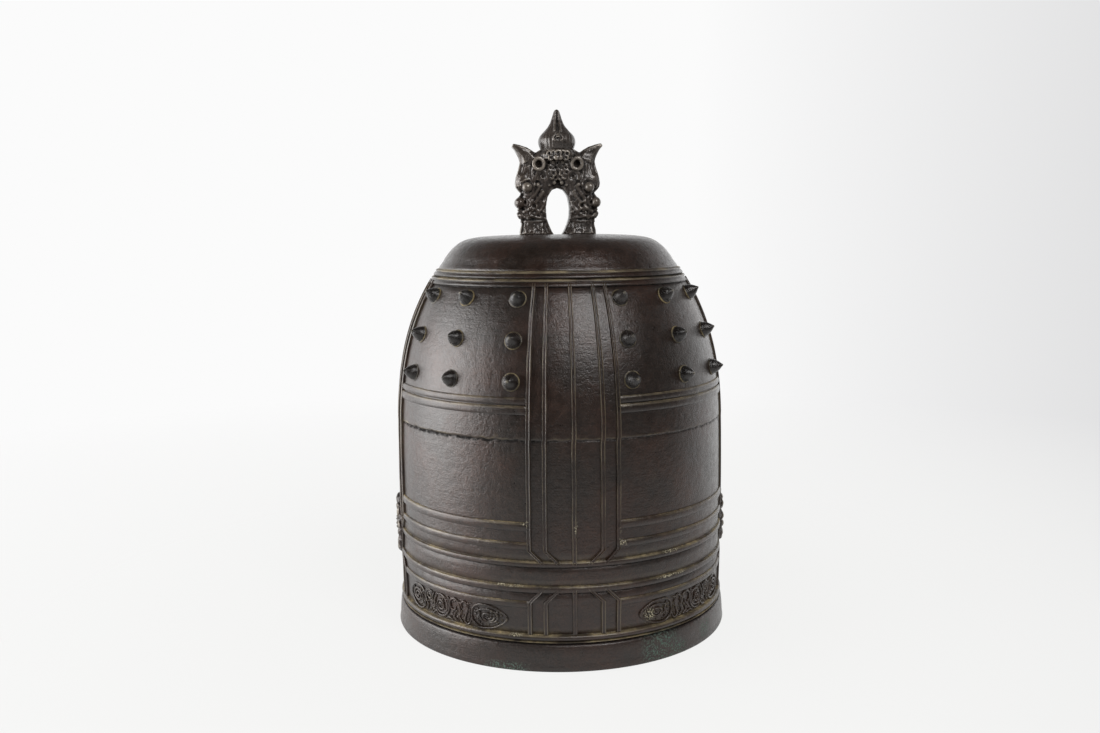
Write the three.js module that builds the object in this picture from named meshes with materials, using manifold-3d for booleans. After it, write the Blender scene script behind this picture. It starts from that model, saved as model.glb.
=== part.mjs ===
// A bronze temple bell: one cast body with its raised bands, a pair of dragon
// heads that make the hanging loop, a flame jewel on top of the loop, and
// thirty-six pointed studs set into the upper wall.
// Millimetres, +Z up. The origin is the middle of the mouth, at the lip's rest
// plane. The front band faces -Y, and angles are turned from it towards +X.

import * as THREE from 'three';
import { mergeVertices } from 'three/addons/utils/BufferGeometryUtils.js';
import Module from 'manifold-3d';

const wasm = await Module();
wasm.setup();

// Driving dimensions

const clearance = 0.3;        // between pieces that are cast or set separately
const overrun = 2;            // how far a cutter runs past the face it opens

const wall = {
  radius: 161.2,              // widest part of the plain wall
  widestHeight: 160,
  drawIn: 1.5,                // how much the wall draws in down to the lip
  shoulderHeight: 340,
  shoulderRadius: 126.4,
  thickness: 8.5,
};
const shoulderCurveShare = 3.15; // roundness of the shoulder, as the power of its curve

const lip = {
  flare: 4.2,                 // how far the lip stands out past the wall
  height: 24.6,               // up to the groove over the lip
  taper: 1.6,                 // how much its face leans in
  edge: 1.5,                  // rounding of the outer lower edge
  bulge: 0.4,                 // how far the face swells between its edges
  thickness: 22,
  grooveWidth: 1.4,
};

// Raised cords: where each starts, how wide it is and how far it stands out.
// A full cord runs all round, and a panel cord stops at the vertical bands.
const baseCord = { foot: lip.height + lip.grooveWidth, width: 5.8, relief: 3.6 };
const lowerBelt = { foot: 71.1, width: 6.2, relief: 1.9 };
const middleBelt = { foot: 94.6, width: 5.2, relief: 1.9 };
const lowerShoulderCord = { foot: wall.shoulderHeight, width: 6.4, relief: 2.4 };
const shoulderGroove = 0.4;
const upperShoulderCord = {
  foot: lowerShoulderCord.foot + lowerShoulderCord.width + shoulderGroove,
  width: 5.8,
  relief: 2.8,
};
const scrollCord = { foot: 56.8, width: 6.6, relief: 1.8 };
const girdleLowCord = { foot: 110.2, width: 6.8, relief: 1.8 };
const girdleHighCord = { foot: 127.1, width: 8.2, relief: 1.8 };
const studFieldDrop = 109.8;    // from the shoulder down to the cords under the studs
const studFieldCord = { foot: wall.shoulderHeight - studFieldDrop, width: 7.8, relief: 1.8 };
const studFieldGroove = 1;
const studFieldUpperCord = {
  foot: studFieldCord.foot + studFieldCord.width + studFieldGroove,
  width: 6.6,
  relief: 1.8,
};
const panelCords = [scrollCord, girdleLowCord, girdleHighCord, studFieldCord, studFieldUpperCord];

const crown = {
  setback: 6.8,               // of its foot, inside the shoulder
  footHeight: upperShoulderCord.foot + upperShoulderCord.width,
  rise: 32.4,
  flatRadius: 43,             // the level seat under the hanging loop
  thickness: 12,
};
// Radius and height of the crown between its foot and its level top
const crownOutlineShares = [
  [1, 0], [0.954, 0.22], [0.901, 0.49], [0.855, 0.665], [0.781, 0.855], [0.643, 0.948],
];

const cordEdgeShare = 0.22;   // of a cord's width, taken by each sloping side
const ribSink = 1.5;          // how deep a separate rib runs into the wall

// The four vertical bands, each with a middle rib and two pairs beside it
const band = {
  ribWidth: 4.2,
  relief: 2,
  innerAngle: 8.8,
  outerAngle: 13.5,
  upperMitre: 12.4,           // rise and run of the slanting feet of the upper ribs
  lowerMitre: 12,             // and of the slanting heads of the lower ones
};

// The two lotus-shaped striking seats, at the sides
const lotus = {
  radius: 32,
  height: 97,                 // of its middle over the lip
  petalRelief: 3.4,
  petalCrown: 4.4,
  bossRadius: 12.5,
  bossRelief: 6.2,
  bossEdge: 1.6,
  petals: 16,
};
const petalNotchShare = 0.9;  // radius between two petals, of the radius at their tips
const petalCrownShare = 0.72; // where a petal is highest
const petalRimShare = 0.5;    // height of a petal's rim, of its relief
const lotusGrooveShare = 0.46;
const lotusGrooveDepthShare = 0.6;

// The studs
const stud = {
  radius: 7.3,
  height: 12,
  skirt: 2.2,
  shankRadius: 3,
  floor: 3,                   // metal left under the end of a shank
  topDrop: 11,                // from the shoulder down to the top row
  rowPitch: 35.3,
  columnAngles: [20, 42.8, 64.6],
};
// Radius and height above the skirt, from the skirt to just under the point
const studOutlineShares = [[0.76, 0.36], [0.34, 0.78]];

// The dragon loop
const loop = {
  height: 81.6,               // from the crown to the seat of the jewel
  reach: 36.5,                // from the middle out to the front of a muzzle's neck
  depth: 13.5,                // half its thickness, front to back
  seatRadius: 16.6,
  collarRadius: 20,
  collarHeight: 9,
  archHalfWidth: 11.8,
  archHeight: 45.3,
  tenonLength: 13,
  tenonDepth: 9,
  tenonFlare: 2.4,            // the dovetail's spread on each side
  tenonFloor: 3,              // crown metal left under a tenon
};
// One head, from foot to crest: height, inner side, outer side and half depth,
// as shares of the loop's height, reach, reach and depth
const headShares = [
  [0, 0.1, 1.03, 1],
  [0.075, 0.2, 0.98, 0.88],
  [0.15, 0.26, 0.96, 0.84],
  [0.3, 0.28, 0.98, 0.94],
  [0.48, 0.2, 0.97, 0.98],
  [0.6, 0, 1.02, 1],
  [0.72, -0.25, 1.02, 0.97],
  [0.84, -0.4, 0.98, 0.92],
  [0.92, -0.45, 0.86, 0.86],
  [0.97, -0.45, 0.6, 0.8],
];
// The arch: half width and height of its outline, up from below the feet
const archShares = [
  [0.42, -0.06], [0.5, 0.04], [0.73, 0.19], [0.97, 0.36], [1, 0.58], [0.84, 0.81], [0.46, 0.96],
];
const archFlareShare = 0.22;  // how much wider the arch is at its two faces

// The features of a face: middle and half size, each across, front to back and
// up, as shares of the loop's reach, depth and height
const faceShares = {
  brow: { at: [0.88, 0.46, 0.631], size: [0.263, 0.52, 0.125] },
  eye: { at: [0.795, 0.815, 0.566], size: [0.137, 0.311, 0.056] },
  nose: { at: [0.97, 0, 0.363], size: [0.197, 0.622, 0.069] },
  nostril: { at: [0.945, 0.444, 0.375], size: [0.126, 0.296, 0.049] },
  lip: { at: [0.93, 0, 0.218], size: [0.175, 0.637, 0.047] },
};
const horn = {
  side: 5.6,                  // of its root, from the middle plane
  splay: 1.6,                 // how much further out the tip stands
  rootHeight: 71.5,
  rootReach: 27.5,
  tipHeight: 86.2,
  tipReach: 44,
  rootSpread: 10.2,
  rootThickness: 5.8,
  tipSpread: 1.3,
};
const hornBendShare = 0.3;    // how much the horn lies over before it rises

// The flame jewel
const jewel = {
  height: 39.2,
  radius: 18.3,
  spigotRadius: 5,
  spigotLength: 11,
};
// Radius and height, from the foot to just under the point
const jewelOutlineShares = [
  [0.9, 0], [0.985, 0.14], [1, 0.235], [0.9, 0.36], [0.585, 0.5], [0.385, 0.62], [0.255, 0.77], [0.14, 0.93],
];

// How finely each round form is faceted
const sides = { body: 32, stud: 8, head: 12, ball: 8, jewel: 16, horn: 6, collar: 16 };
const wallRows = 5;

const lipRadius = wall.radius + lip.flare;
const bellHeight = crown.footHeight + crown.rise;

// Solids and booleans

// Turns a mesh of triangles into a solid with its faces pointing outwards
function solid(geometry) {
  const plain = geometry.clone();
  plain.deleteAttribute('normal');
  plain.deleteAttribute('uv');
  const merged = mergeVertices(plain);
  const points = merged.attributes.position;
  const kept = [];
  let volume = 0;
  const [a, b, c] = [new THREE.Vector3(), new THREE.Vector3(), new THREE.Vector3()];
  for (let i = 0; i < merged.index.count; i += 3) {
    const corners = [merged.index.getX(i), merged.index.getX(i + 1), merged.index.getX(i + 2)];
    if (new Set(corners).size < 3) continue;
    a.fromBufferAttribute(points, corners[0]);
    b.fromBufferAttribute(points, corners[1]);
    c.fromBufferAttribute(points, corners[2]);
    volume += a.dot(b.cross(c));
    kept.push(corners);
  }
  const outward = kept.flatMap(([i, j, k]) => (volume < 0 ? [i, k, j] : [i, j, k]));
  return new wasm.Manifold(new wasm.Mesh({
    numProp: 3,
    vertProperties: new Float32Array(points.array),
    triVerts: new Uint32Array(outward),
  }));
}

function joined(solids) {
  return solids.reduce((whole, piece) => whole.add(piece));
}

function meshOf(name, body, material) {
  const result = body.getMesh();
  const geometry = new THREE.BufferGeometry();
  geometry.setAttribute('position', new THREE.BufferAttribute(new Float32Array(result.vertProperties), 3));
  geometry.setIndex(new THREE.BufferAttribute(new Uint32Array(result.triVerts), 1));
  geometry.computeVertexNormals();
  const mesh = new THREE.Mesh(geometry, material);
  mesh.name = name;
  return mesh;
}

// A solid through a row of closed rings, each a list of as many points
function loft(rings) {
  const count = rings[0].length;
  const index = [];
  for (let ring = 0; ring < rings.length - 1; ring += 1) {
    for (let i = 0; i < count; i += 1) {
      const here = ring * count + i;
      const next = ring * count + (i + 1) % count;
      index.push(here, next, next + count, here, next + count, here + count);
    }
  }
  const last = (rings.length - 1) * count;
  for (let i = 1; i < count - 1; i += 1) {
    index.push(0, i + 1, i, last, last + i, last + i + 1);
  }
  const positions = rings.flat().flatMap((point) => [point.x, point.y, point.z]);
  const geometry = new THREE.BufferGeometry();
  geometry.setAttribute('position', new THREE.Float32BufferAttribute(positions, 3));
  geometry.setIndex(index);
  return solid(geometry);
}

// A solid of revolution about Z from radius and height pairs
function revolved(outline, segments) {
  const points = outline.map(([radius, height]) => new THREE.Vector2(radius, height));
  const geometry = new THREE.LatheGeometry(points, segments);
  geometry.rotateX(Math.PI / 2);
  return solid(geometry);
}

// The bell's body

function wallAt(height) {
  if (height > wall.widestHeight) {
    const rise = (height - wall.widestHeight) / (wall.shoulderHeight - wall.widestHeight);
    return wall.radius - (wall.radius - wall.shoulderRadius) * rise ** shoulderCurveShare;
  }
  const drop = (wall.widestHeight - height) / (wall.widestHeight - lip.height);
  return wall.radius - wall.drawIn * drop ** 2;
}

// Heights of the rings of the upper wall, closer together towards the shoulder
const upperRows = Array.from({ length: wallRows }, (_, i) => {
  const share = 1 - (1 - i / wallRows) ** 1.5;
  return wall.widestHeight + share * (wall.shoulderHeight - wall.widestHeight);
});

function cordOutline({ foot, width, relief }) {
  const head = foot + width;
  const edge = width * cordEdgeShare;
  return [
    [wallAt(foot), foot],
    [wallAt(foot + edge) + relief, foot + edge],
    [wallAt(head - edge) + relief, head - edge],
    [wallAt(head), head],
  ];
}

function outerOutline() {
  return [
    [lipRadius - lip.edge, 0],
    [lipRadius, lip.edge],
    [lipRadius - lip.taper / 2 + lip.bulge, lip.height / 2],
    [lipRadius - lip.taper, lip.height - lip.edge],
    [wallAt(lip.height), lip.height],
    ...cordOutline(baseCord),
    ...cordOutline(lowerBelt),
    ...cordOutline(middleBelt),
    ...upperRows.map((height) => [wallAt(height), height]),
    ...cordOutline(lowerShoulderCord),
    ...cordOutline(upperShoulderCord),
    ...crownOutlineShares.map(([radius, height]) => [
      (wall.shoulderRadius - crown.setback) * radius,
      crown.footHeight + crown.rise * height,
    ]),
    [crown.flatRadius, bellHeight],
    [0, bellHeight],
  ];
}

// The hollow follows the outside, thick at the lip and thinner up the wall
function innerOutline() {
  const innerTop = bellHeight - crown.thickness;
  const roundShares = [[1, 0], [0.9, 0.5], [0.74, 0.84], [0.5, 1]];
  const roundFoot = wall.shoulderHeight;
  const roundRadius = wallAt(roundFoot) - wall.thickness;
  return [
    [0, innerTop],
    ...roundShares.map(([radius, height]) => [
      roundRadius * radius,
      roundFoot + (innerTop - roundFoot) * height,
    ]).reverse(),
    ...upperRows.filter((_, row) => row % 2 === 0).reverse()
      .map((height) => [wallAt(height) - wall.thickness, height]),
    [wallAt(middleBelt.foot) - wall.thickness, middleBelt.foot],
    [lipRadius - lip.thickness, lip.height],
    [lipRadius - lip.thickness, 0],
  ];
}

function onWall(angle, height, proud = 0) {
  const turn = THREE.MathUtils.degToRad(angle);
  const radius = wallAt(height) + proud;
  return new THREE.Vector3(radius * Math.sin(turn), -radius * Math.cos(turn), height);
}

// The angle that a length along the wall spans at a height
function angleOf(length, height) {
  return THREE.MathUtils.radToDeg(length / wallAt(height));
}

// A raised rib along a path of angle and height pairs, mitred at its bends
function rib(path, width, relief) {
  const points = path.map(([angle, height]) => onWall(angle, height));
  const legs = points.slice(1).map((point, i) => point.clone().sub(points[i]).normalize());
  const rings = points.map((point, i) => {
    const before = legs[Math.max(i - 1, 0)];
    const after = legs[Math.min(i, legs.length - 1)];
    const out = new THREE.Vector3(point.x, point.y, 0).normalize();
    const across = before.clone().add(after).cross(out).normalize();
    const square = after.clone().cross(out).normalize();
    const half = width / 2 / Math.max(across.dot(square), 0.5);
    const top = half * (1 - 2 * cordEdgeShare);
    return [[-half, -ribSink], [-top, relief], [top, relief], [half, -ribSink]].map(([aside, up]) =>
      point.clone().addScaledVector(across, aside).addScaledVector(out, up));
  });
  return loft(rings);
}

function panelCord({ foot, width, relief }, start) {
  const height = foot + width / 2;
  const facet = 360 / sides.body;
  const inside = Array.from({ length: sides.body / 4 }, (_, i) => facet * i)
    .filter((angle) => angle > band.outerAngle && angle < 90 - band.outerAngle);
  const angles = [band.outerAngle, ...inside, 90 - band.outerAngle];
  return rib(angles.map((angle) => [start + angle, height]), width, relief);
}

// The ribs of one vertical band: above the middle belt, and below the lower one
function bandRibs(centre) {
  const { ribWidth, relief, innerAngle, outerAngle, upperMitre, lowerMitre } = band;
  const upperFoot = middleBelt.foot + middleBelt.width / 2;
  const upperHead = lowerShoulderCord.foot + lowerShoulderCord.width / 2;
  const lowerFoot = baseCord.foot + baseCord.width / 2;
  const lowerHead = lowerBelt.foot + lowerBelt.width / 2;
  const ribs = [
    rib([
      [centre, upperFoot],
      ...upperRows.map((height) => [centre, height]),
      [centre, upperHead],
    ], ribWidth, relief),
    rib([[centre, lowerFoot], [centre, lowerHead]], ribWidth, relief),
  ];
  for (const side of [-1, 1]) {
    for (const offset of [innerAngle, outerAngle]) {
      const straight = centre + side * offset;
      const footAngle = straight - side * angleOf(upperMitre, upperFoot);
      ribs.push(rib([
        [footAngle, upperFoot],
        [straight, upperFoot + upperMitre],
        ...upperRows.map((height) => [straight, height]),
        [straight, upperHead],
      ], ribWidth, relief));
      const headAngle = straight - side * angleOf(lowerMitre, lowerHead);
      ribs.push(rib([
        [straight, lowerFoot],
        [straight, lowerHead - lowerMitre],
        [headAngle, lowerHead],
      ], ribWidth, relief));
    }
  }
  return ribs;
}

// A lotus flower in relief that follows the wall's curve
function lotusSeat(centre) {
  const points = lotus.petals * 2;
  const ring = (radius, notch, relief) => Array.from({ length: points }, (_, i) => {
    const turn = Math.PI * 2 * (i + 0.5) / points;
    const reach = radius * (i % 2 === 0 ? 1 : notch);
    const height = lotus.height + reach * Math.sin(turn);
    return onWall(centre + angleOf(reach * Math.cos(turn), height), height, relief);
  });
  const { radius, petalRelief, petalCrown, bossRadius, bossRelief, bossEdge } = lotus;
  return loft([
    ring(radius, petalNotchShare, -ribSink),
    ring(radius, petalNotchShare, petalRelief * petalRimShare),
    ring(radius * petalCrownShare, 1, petalCrown),
    ring(radius * lotusGrooveShare, 1, petalRelief * lotusGrooveDepthShare),
    ring(bossRadius - bossEdge, 1, bossRelief),
  ]);
}

// Each stud stands square to the wall: its place is a turned frame on the wall
function studFrame(angle, height) {
  const lean = Math.atan2(wallAt(height - clearance) - wallAt(height + clearance), 2 * clearance);
  const frame = new THREE.Matrix4();
  frame.makeRotationZ(THREE.MathUtils.degToRad(angle));
  frame.multiply(new THREE.Matrix4().makeRotationX(Math.PI / 2 - lean));
  frame.setPosition(onWall(angle, height));
  return frame;
}

const panels = [
  { name: 'front_right', centre: 0, side: 1 },
  { name: 'front_left', centre: 0, side: -1 },
  { name: 'rear_left', centre: 180, side: 1 },
  { name: 'rear_right', centre: 180, side: -1 },
];
const rowNames = ['top', 'middle', 'bottom'];
const studPlaces = panels.flatMap(({ name, centre, side }) =>
  rowNames.flatMap((rowName, row) => stud.columnAngles.map((offset, column) => ({
    name: `stud_${name}_${rowName}_${column + 1}`,
    frame: studFrame(centre + side * offset, wall.shoulderHeight - stud.topDrop - row * stud.rowPitch),
  }))));

// The dovetailed tenons under the loop's feet, and with room round them the
// sockets that the crown was cast round
function tenon(side, room) {
  const { reach, tenonLength, tenonDepth, tenonFlare, tenonFloor } = loop;
  const middle = reach * (headShares[0][1] + headShares[0][2]) / 2;
  const bottom = bellHeight - crown.thickness + tenonFloor - room;
  const top = room > 0 ? bellHeight + overrun : bellHeight + clearance + overrun;
  const flareAt = (height) => tenonFlare * (bellHeight - height) / (crown.thickness - tenonFloor);
  return loft([bottom, top].map((height) => {
    const halfLength = tenonLength / 2 + flareAt(height) + room;
    const halfDepth = tenonDepth / 2 + flareAt(height) + room;
    return [[1, 1], [-1, 1], [-1, -1], [1, -1]].map(([along, across]) =>
      new THREE.Vector3(side * middle + along * halfLength, across * halfDepth, height));
  }));
}

function shankSocket() {
  const depth = wall.thickness - stud.floor + clearance;
  return revolved([
    [0, -depth],
    [stud.shankRadius + clearance, -depth],
    [stud.shankRadius + clearance, overrun],
    [0, overrun],
  ], sides.stud);
}

function bellBody() {
  const shell = revolved([...outerOutline(), ...innerOutline(), outerOutline()[0]], sides.body);
  const raised = [0, 90, 180, 270].flatMap((centre) => [
    ...bandRibs(centre),
    ...panelCords.map((cord) => panelCord(cord, centre)),
  ]);
  const seats = [90, 270].map(lotusSeat);
  const sockets = studPlaces.map(({ frame }) => shankSocket().transform(frame.elements));
  const tenonSockets = [-1, 1].map((side) => tenon(side, clearance));
  return joined([shell, ...raised, ...seats]).subtract(joined([...sockets, ...tenonSockets]));
}

// A stud, standing along +Z on a level wall

function studBody() {
  const foot = clearance;
  const dome = stud.height - stud.skirt;
  const shankEnd = -(wall.thickness - stud.floor - clearance);
  return revolved([
    [0, shankEnd],
    [stud.shankRadius, shankEnd],
    [stud.shankRadius, foot],
    [stud.radius, foot],
    [stud.radius, foot + stud.skirt],
    ...studOutlineShares.map(([radius, height]) => [
      stud.radius * radius,
      foot + stud.skirt + dome * height,
    ]),
    [0, foot + stud.height],
  ], sides.stud);
}

// The dragon loop

// One rounded-square ring of a head, level, from its inner to its outer side
function headRing(height, inner, outer, halfDepth) {
  const square = 0.75;
  const soften = (value) => Math.sign(value) * Math.abs(value) ** square;
  return Array.from({ length: sides.head }, (_, i) => {
    const turn = Math.PI * 2 * (i + 0.5) / sides.head;
    return new THREE.Vector3(
      (inner + outer) / 2 + (outer - inner) / 2 * soften(Math.cos(turn)),
      halfDepth * soften(Math.sin(turn)),
      height,
    );
  });
}

// A horn sweeps up and outwards from the brow to its tip
function hornSolid(mirror) {
  const { side, splay, rootHeight, rootReach, tipHeight, tipReach } = horn;
  const { rootSpread, rootThickness, tipSpread } = horn;
  const rise = tipHeight - rootHeight;
  const out = tipReach - rootReach;
  const spine = new THREE.QuadraticBezierCurve3(
    new THREE.Vector3(rootReach, mirror * side, rootHeight),
    new THREE.Vector3(rootReach + out * hornBendShare, mirror * side, tipHeight - rise * hornBendShare),
    new THREE.Vector3(tipReach, mirror * (side + splay), tipHeight),
  );
  const stations = 4;
  return loft(Array.from({ length: stations + 1 }, (_, i) => {
    const along = i / stations;
    const middle = spine.getPoint(along);
    const direction = spine.getTangent(along);
    const aside = new THREE.Vector3(-direction.z, 0, direction.x).normalize();
    const spread = THREE.MathUtils.lerp(rootSpread, tipSpread, along);
    const thickness = THREE.MathUtils.lerp(rootThickness, tipSpread, along);
    return Array.from({ length: sides.horn }, (__, j) => {
      const turn = Math.PI * 2 * j / sides.horn;
      return middle.clone()
        .addScaledVector(aside, spread * Math.cos(turn))
        .add(new THREE.Vector3(0, thickness * Math.sin(turn), 0));
    });
  }));
}

// An egg-shaped feature of a face, on the near side or mirrored to the far one
function feature({ at, size }, mirror) {
  const { reach, depth, height } = loop;
  const geometry = new THREE.SphereGeometry(1, sides.ball, sides.ball / 2 + 1);
  geometry.scale(size[0] * reach, size[1] * depth, size[2] * height);
  geometry.translate(at[0] * reach, mirror * at[1] * depth, at[2] * height);
  return solid(geometry);
}

function dragonHead() {
  const { height, reach, depth } = loop;
  const neck = loft(headShares.map(([up, inner, outer, half]) =>
    headRing(up * height, inner * reach, outer * reach, half * depth)));
  const { brow, eye, nose, nostril, lip: mouth } = faceShares;
  const features = [
    ...[1, -1].flatMap((mirror) => [
      feature(brow, mirror),
      feature(eye, mirror),
      feature(nostril, mirror),
      hornSolid(mirror),
    ]),
    feature(nose, 1),
    feature(mouth, 1),
  ];
  return joined([neck, ...features]);
}

// The opening that the bell hangs by: egg-shaped, and wider at its two faces
function archCutter() {
  const { archHalfWidth, archHeight, depth } = loop;
  const rightSide = archShares.map(([across, up]) => [across * archHalfWidth, up * archHeight]);
  const leftSide = rightSide.map(([across, up]) => [-across, up]).reverse();
  const outline = [...rightSide, [0, archHeight], ...leftSide];
  const runShares = [-1.3, -0.7, 0, 0.7, 1.3];
  return loft(runShares.map((run) => {
    const flare = 1 + archFlareShare * run ** 2;
    return outline.map(([across, up]) => new THREE.Vector3(
      across * flare,
      run * depth,
      up > 0 ? up + (flare - 1) * up / 3 : up,
    ));
  }));
}

function dragonLoop() {
  const { height, seatRadius, collarRadius, collarHeight } = loop;
  const head = dragonHead();
  const collar = revolved([
    [0, height - collarHeight],
    [collarRadius, height - collarHeight],
    [collarRadius, height - collarHeight / 2],
    [seatRadius, height],
    [0, height],
  ], sides.collar);
  const socket = revolved([
    [0, height - jewel.spigotLength - 2 * clearance],
    [jewel.spigotRadius + clearance, height - jewel.spigotLength - 2 * clearance],
    [jewel.spigotRadius + clearance, height + overrun],
    [0, height + overrun],
  ], sides.jewel);
  return joined([head, head.rotate([0, 0, 180]), collar])
    .subtract(archCutter())
    .subtract(socket)
    .translate([0, 0, bellHeight + clearance])
    .add(tenon(-1, 0))
    .add(tenon(1, 0));
}

// The flame jewel, on its seat

function flameJewel() {
  const foot = bellHeight + clearance + loop.height + clearance;
  return revolved([
    [0, foot - jewel.spigotLength - clearance],
    [jewel.spigotRadius, foot - jewel.spigotLength - clearance],
    [jewel.spigotRadius, foot],
    ...jewelOutlineShares.map(([radius, height]) => [jewel.radius * radius, foot + jewel.height * height]),
    [0, foot + jewel.height],
  ], sides.jewel);
}

// The finished bell

const patina = new THREE.MeshStandardMaterial({ color: '#3b332d', roughness: 0.5, metalness: 0.9 });
const darkPatina = new THREE.MeshStandardMaterial({ color: '#26221f', roughness: 0.4, metalness: 0.9 });
const studPatina = new THREE.MeshStandardMaterial({ color: '#2b2622', roughness: 0.45, metalness: 0.9 });

const bell = new THREE.Group();
bell.add(meshOf('bell_body', bellBody(), patina));
bell.add(meshOf('dragon_loop', dragonLoop(), darkPatina));
bell.add(meshOf('flame_jewel', flameJewel(), darkPatina));
const oneStud = studBody();
for (const { name, frame } of studPlaces) {
  const mesh = meshOf(name, oneStud, studPatina);
  frame.decompose(mesh.position, mesh.quaternion, mesh.scale);
  bell.add(mesh);
}

export default bell;
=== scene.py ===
"""The looks of a bronze temple bell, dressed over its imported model."""

import math
import random

import bpy
import numpy
from mathutils import Matrix, Vector, noise
from mathutils.bvhtree import BVHTree


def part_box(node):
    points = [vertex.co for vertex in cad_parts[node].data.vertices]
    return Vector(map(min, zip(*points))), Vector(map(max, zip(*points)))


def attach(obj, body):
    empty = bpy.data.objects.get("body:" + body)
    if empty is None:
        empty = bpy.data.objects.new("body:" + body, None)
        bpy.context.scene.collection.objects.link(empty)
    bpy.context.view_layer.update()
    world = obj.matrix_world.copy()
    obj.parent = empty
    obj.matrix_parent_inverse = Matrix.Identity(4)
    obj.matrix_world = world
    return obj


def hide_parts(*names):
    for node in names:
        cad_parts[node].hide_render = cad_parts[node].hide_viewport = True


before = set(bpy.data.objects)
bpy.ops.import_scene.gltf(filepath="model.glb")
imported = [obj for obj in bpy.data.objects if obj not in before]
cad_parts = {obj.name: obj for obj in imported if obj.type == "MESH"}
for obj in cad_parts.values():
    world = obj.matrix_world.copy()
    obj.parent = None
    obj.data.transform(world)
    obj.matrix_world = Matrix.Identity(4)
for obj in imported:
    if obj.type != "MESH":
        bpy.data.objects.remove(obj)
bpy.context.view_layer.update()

# The bell's wall, crown and lip are one bronze casting, poured in a loam mould that
# was swept to shape with a turning board. The skin is smooth and a little uneven, and
# the cords that run all round were cut into the board.

wall_radius = 0.1612
widest_height = 0.160
draw_in = 0.0015
shoulder_height = 0.340
shoulder_radius = 0.1264
shoulder_power = 3.15
wall_thickness = 0.0085
lip_flare = 0.0042
lip_height = 0.0246
lip_taper = 0.0016
lip_edge = 0.0014
lip_bulge = 0.0004
lip_thickness = 0.022
lip_chamfer = 0.0012
crown_setback = 0.0068
crown_thickness = 0.012
bell_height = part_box("bell_body")[1].z
seam_height = 0.2076
seam_shift = 0.0005
unevenness = 0.0006
uneven_span = 0.055
turning_steps = 288
skin_depth = 0.006
skin_top = 0.352
crown_eye = 0.02
groove_depth = 0.0005
groove_width = 0.0007
seam_step = 0.0003
seam_depth = 0.0011
seam_reach = 0.0035
seam_pitch = 0.0004
# Foot, width and relief of each cord that runs all round
base_fillet = (0.0254, 0.0012, 0.0030)
base_cord = (0.0274, 0.0052, 0.0036)
lower_belt = (0.0711, 0.0062, 0.0019)
middle_belt = (0.0946, 0.0052, 0.0019)
lower_shoulder_cord = (0.3392, 0.0066, 0.0024)
upper_shoulder_cord = (0.3466, 0.0060, 0.0028)
shoulder_cords = (lower_shoulder_cord, upper_shoulder_cord)
round_cords = [base_fillet, base_cord, lower_belt, middle_belt, *shoulder_cords]
crown_foot = upper_shoulder_cord[0] + upper_shoulder_cord[1]


def wall_at(height):
    """The wall's outer radius at a height."""
    if height > widest_height:
        rise = (height - widest_height) / (shoulder_height - widest_height)
        return wall_radius - (wall_radius - shoulder_radius) * rise ** shoulder_power
    drop = (widest_height - height) / (widest_height - lip_height)
    return wall_radius - draw_in * drop ** 2


def hand_made(turn, height):
    """How far the swept mould fell short of its true surface, at most nothing."""
    place = Vector((math.sin(turn), -math.cos(turn), 0)) * wall_radius
    place.z = height
    swell = noise.noise(place / uneven_span) + 0.4 * noise.noise(place * 2.7 / uneven_span)
    step = seam_step if height < seam_height else 0
    return unevenness * (swell - 1) / 2 - step


def deselect():
    """Leaves edit mode, with nothing selected."""
    if bpy.context.object and bpy.context.object.mode != "OBJECT":
        bpy.ops.object.mode_set(mode="OBJECT")
    bpy.ops.object.select_all(action="DESELECT")


def drawn_line(name, points):
    """Draws a line from one vertex by extruding it from point to point."""
    deselect()
    bpy.ops.mesh.primitive_plane_add(size=1, location=points[0])
    line = bpy.context.object
    line.name = name
    bpy.ops.object.transform_apply(location=True)
    bpy.ops.object.mode_set(mode="EDIT")
    bpy.ops.mesh.merge(type="CENTER")
    for here, there in zip(points, points[1:]):
        bpy.ops.mesh.extrude_region_move(TRANSFORM_OT_translate={"value": Vector(there) - Vector(here)})
    bpy.ops.object.mode_set(mode="OBJECT")
    return line


def pick(*pieces):
    """Selects these pieces alone, and makes the first of them the one that is worked on."""
    deselect()
    for piece in pieces:
        piece.select_set(True)
    bpy.context.view_layer.objects.active = pieces[0]


def finish_form():
    """Points all faces of the piece in hand outwards, leaves edit mode and smooths the piece."""
    bpy.ops.mesh.select_all(action="SELECT")
    bpy.ops.mesh.normals_make_consistent(inside=False)
    bpy.ops.object.mode_set(mode="OBJECT")
    bpy.ops.object.shade_smooth()


def turned(line, steps):
    """Turns a drawn profile all the way round the Z axis."""
    pick(line)
    bpy.ops.object.mode_set(mode="EDIT")
    bpy.ops.mesh.select_all(action="SELECT")
    bpy.ops.mesh.spin(steps=steps, angle=2 * math.pi, center=(0, 0, 0), axis=(0, 0, 1))
    bpy.ops.mesh.select_all(action="SELECT")
    bpy.ops.mesh.remove_doubles(threshold=0.000005)
    finish_form()
    return line


# Up a shoulder cord, shares of its width and relief: a broad face, a groove and a thin lip
shoulder_cord_shares = [
    (0, 0), (0.03, 0.5), (0.12, 0.74), (0.3, 0.84), (0.48, 0.8), (0.6, 0.6), (0.66, 0.42), (0.71, 0.62),
    (0.77, 0.92), (0.84, 1), (0.91, 0.98), (0.97, 0.7), (1, 0),
]


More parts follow.
